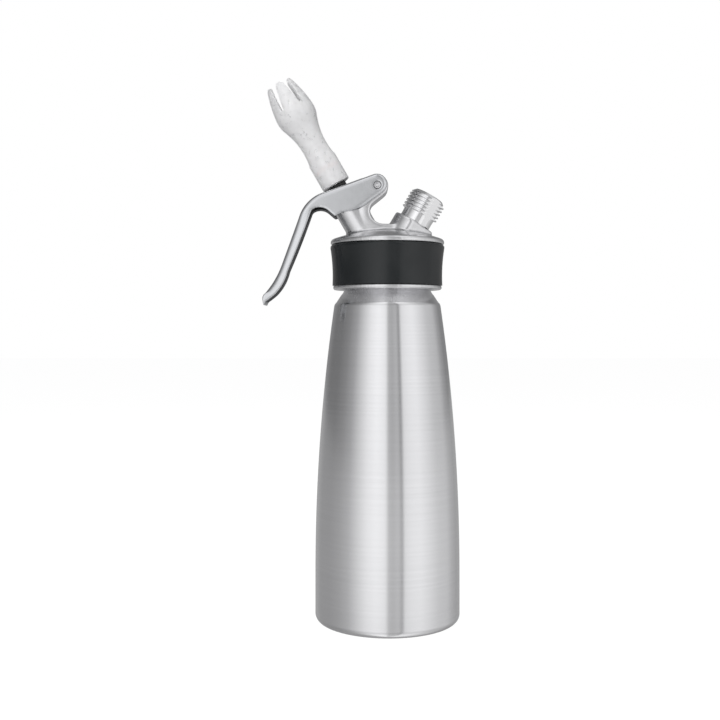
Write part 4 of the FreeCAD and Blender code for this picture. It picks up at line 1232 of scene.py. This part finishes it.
@dataclass
class Studio:
    """White sweep, soft surround, lamps and the camera of the photograph."""

    camera_place: Place = (-0.0175, -0.6656, 0.1857)
    lens: float = 52.0
    camera_shift: float = -0.043
    aim: Place = (0.0, 0.0, 0.17)
    surround_gain: float = 1.35
    plain_light: Colour = (0.36, 0.36, 0.365)
    floor_half: float = 6.0
    floor_clear: float = 0.8
    floor_colour: Colour = (0.8, 0.8, 0.8)
    floor_glow: float = 0.93
    floor_shade: Colour = (0.16, 0.16, 0.16)
    lamps: tuple[PanelLamp, ...] = (
        PanelLamp("key_panel", (-0.45, -1.25, 0.75), 0.8, 13.0),
        PanelLamp("fill_panel", (1.2, -0.9, 0.9), 0.8, 4.0),
        PanelLamp("top_panel", (0.0, 0.25, 1.5), 0.7, 5.0),
    )
    stops: tuple[Level, ...] = (
        Level(-180, 0.26), Level(-154, 0.27), Level(-132, 0.20), Level(-104, 0.21), Level(-84, 0.28),
        Level(-66, 0.42), Level(-50, 0.72), Level(-35, 1.0), Level(-20, 1.14), Level(-6, 1.05),
        Level(-3, 0.95), Level(0, 0.52), Level(8, 0.48), Level(15, 0.58), Level(18.5, 0.50),
        Level(20, 0.30), Level(23, 0.30), Level(25, 0.90), Level(38, 1.0), Level(52, 1.04),
        Level(69, 0.86), Level(87, 0.66), Level(108, 0.58), Level(121, 0.40), Level(138, 0.27),
        Level(180, 0.26),
    )
    tiers: tuple[Level, ...] = (
        Level(-1.0, 1.15), Level(-0.6, 0.66), Level(-0.32, 0.93), Level(-0.2, 1.0), Level(0.05, 1.0),
        Level(0.3, 1.06), Level(0.45, 0.85), Level(0.6, 0.80), Level(0.75, 1.0), Level(1.0, 1.1),
    )

    def build(self) -> None:
        """Make the world, the floor, the lamps and the camera."""
        scene = bpy.context.scene
        scene.view_settings.view_transform = "Standard"
        self.make_world(scene)
        self.make_floor()
        for lamp in self.lamps:
            self.make_lamp(lamp)
        self.make_camera(scene)

    def make_world(self, scene: bpy.types.Scene) -> None:
        """Make a surround whose panels show in gloss, before a white background."""
        world = bpy.data.worlds.new("studio")
        scene.world = world
        world.use_nodes = True
        maker = TreeMaker(world.node_tree)
        background = world.node_tree.nodes["Background"]
        way = maker.add("ShaderNodeTexCoord").outputs["Generated"]
        parts = maker.add("ShaderNodeSeparateXYZ", None, {0: way})
        towards = maker.math("MULTIPLY", parts.outputs[1], -1.0)
        angle = maker.math("ARCTAN2", parts.outputs[0], towards)
        share = maker.ramp(angle, -math.pi, math.pi, 0.0, 1.0)
        ring = maker.add("ShaderNodeValToRGB", None, {0: share})
        self.fill_ramp(
            ring.color_ramp,
            [((stop.place + 180.0) / 360.0, stop.light / self.surround_gain) for stop in self.stops],
        )
        height = maker.ramp(parts.outputs[2], -1.0, 1.0, 0.0, 1.0)
        tiers = maker.add("ShaderNodeValToRGB", None, {0: height})
        self.fill_ramp(tiers.color_ramp, [((tier.place + 1.0) / 2.0, tier.light) for tier in self.tiers])
        level = maker.math("MULTIPLY", tiers.outputs[0], self.surround_gain)
        panels = maker.add(
            "ShaderNodeVectorMath", {"operation": "SCALE"}, {0: ring.outputs[0], "Scale": level}
        )
        path = maker.add("ShaderNodeLightPath")
        plain = maker.math("MAXIMUM", path.outputs["Is Camera Ray"], path.outputs["Is Transmission Ray"])
        soft = maker.blend(path.outputs["Is Glossy Ray"], tinted(self.plain_light, 1.0), panels.outputs[0])
        seen = maker.blend(plain, soft, (1.0, 1.0, 1.0, 1.0))
        maker.join(seen, background.inputs["Color"])

    def fill_ramp(self, ramp: bpy.types.ColorRamp, levels: list[Point]) -> None:
        """Fill a colour ramp with grey levels.

        Args:
            ramp: the ramp.
            levels: place and level of each stop, in order.
        """
        for number, (place, level) in enumerate(levels):
            element = ramp.elements[number] if number < 2 else ramp.elements.new(place)
            element.position = place
            element.color = (level, level, level * 1.01, 1.0)

    def make_floor(self) -> None:
        """Make the pale sweep that the bottle stands on."""
        half = self.floor_half
        mesh = bpy.data.meshes.new("studio_floor")
        corners = [(-half, -half, 0), (half, -half, 0), (half, half, 0), (-half, half, 0)]
        mesh.from_pydata(corners, [], [(0, 1, 2, 3)])
        floor = placed("studio_floor", mesh)
        material, maker, shader = new_material("studio_floor")
        shader.inputs["Base Color"].default_value = tinted(self.floor_colour, 1.0)
        shader.inputs["Roughness"].default_value = 0.9
        path = maker.add("ShaderNodeLightPath")
        straight = maker.math("MAXIMUM", path.outputs["Is Camera Ray"], path.outputs["Is Glossy Ray"])
        seen = maker.math("MAXIMUM", straight, path.outputs["Is Transmission Ray"])
        glow = maker.add(
            "ShaderNodeEmission", None, {"Color": (1.0, 1.0, 1.0, 1.0), "Strength": self.floor_glow}
        )
        shade = maker.add("ShaderNodeBsdfDiffuse", None, {"Color": tinted(self.floor_shade, 1.0)})
        bright = maker.add("ShaderNodeAddShader", None, {0: glow.outputs[0], 1: shade.outputs[0]})
        through = maker.add("ShaderNodeBsdfTransparent")
        clear = maker.math("MULTIPLY", path.outputs["Is Glossy Ray"], self.floor_clear)
        sheen = maker.add(
            "ShaderNodeMixShader", None, {0: clear, 1: bright.outputs[0], 2: through.outputs[0]}
        )
        both = maker.add("ShaderNodeMixShader", None, {0: seen, 1: shader.outputs[0], 2: sheen.outputs[0]})
        maker.join(both.outputs[0], material.node_tree.nodes["Material Output"].inputs["Surface"])
        mesh.materials.append(material)

    def make_lamp(self, panel: PanelLamp) -> None:
        """Hang one panel lamp, turned to the bottle and out of sight in gloss."""
        light = bpy.data.lights.new(panel.name, "AREA")
        light.size = panel.size
        light.energy = panel.power
        lamp = placed(panel.name, light)
        lamp.visible_glossy = False
        way = Vector(self.aim) - Vector(panel.place)
        lamp.rotation_euler = way.to_track_quat("-Z", "Y").to_euler()
        lamp.location = panel.place

    def make_camera(self, scene: bpy.types.Scene) -> None:
        """Make the camera at the photograph's place."""
        data = bpy.data.cameras.new("photo_camera")
        data.lens = self.lens
        data.sensor_width = 36.0
        data.shift_y = self.camera_shift
        data.clip_start = 0.01
        camera = placed("photo_camera", data)
        camera.location = self.camera_place
        camera.rotation_euler = (math.radians(90.0), 0.0, 0.0)
        scene.camera = camera


def main() -> None:
    """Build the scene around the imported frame."""
    logging.basicConfig(level=logging.INFO, format="%(name)s: %(message)s")
    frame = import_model()
    shop = Workshop(frame)
    trees = ShapeTrees()
    shop.dress_nodes()
    Bottle().build(shop, trees)
    HeadCasting().build(shop)
    SqueezeLever().build(shop)
    PivotPin().build(shop, trees)
    StemShadeRing().build(shop, trees)
    TulipNozzle().build(shop, trees)
    Studio().build()
    LOG.info("boxes written")


if __name__ == "__main__":
    main()
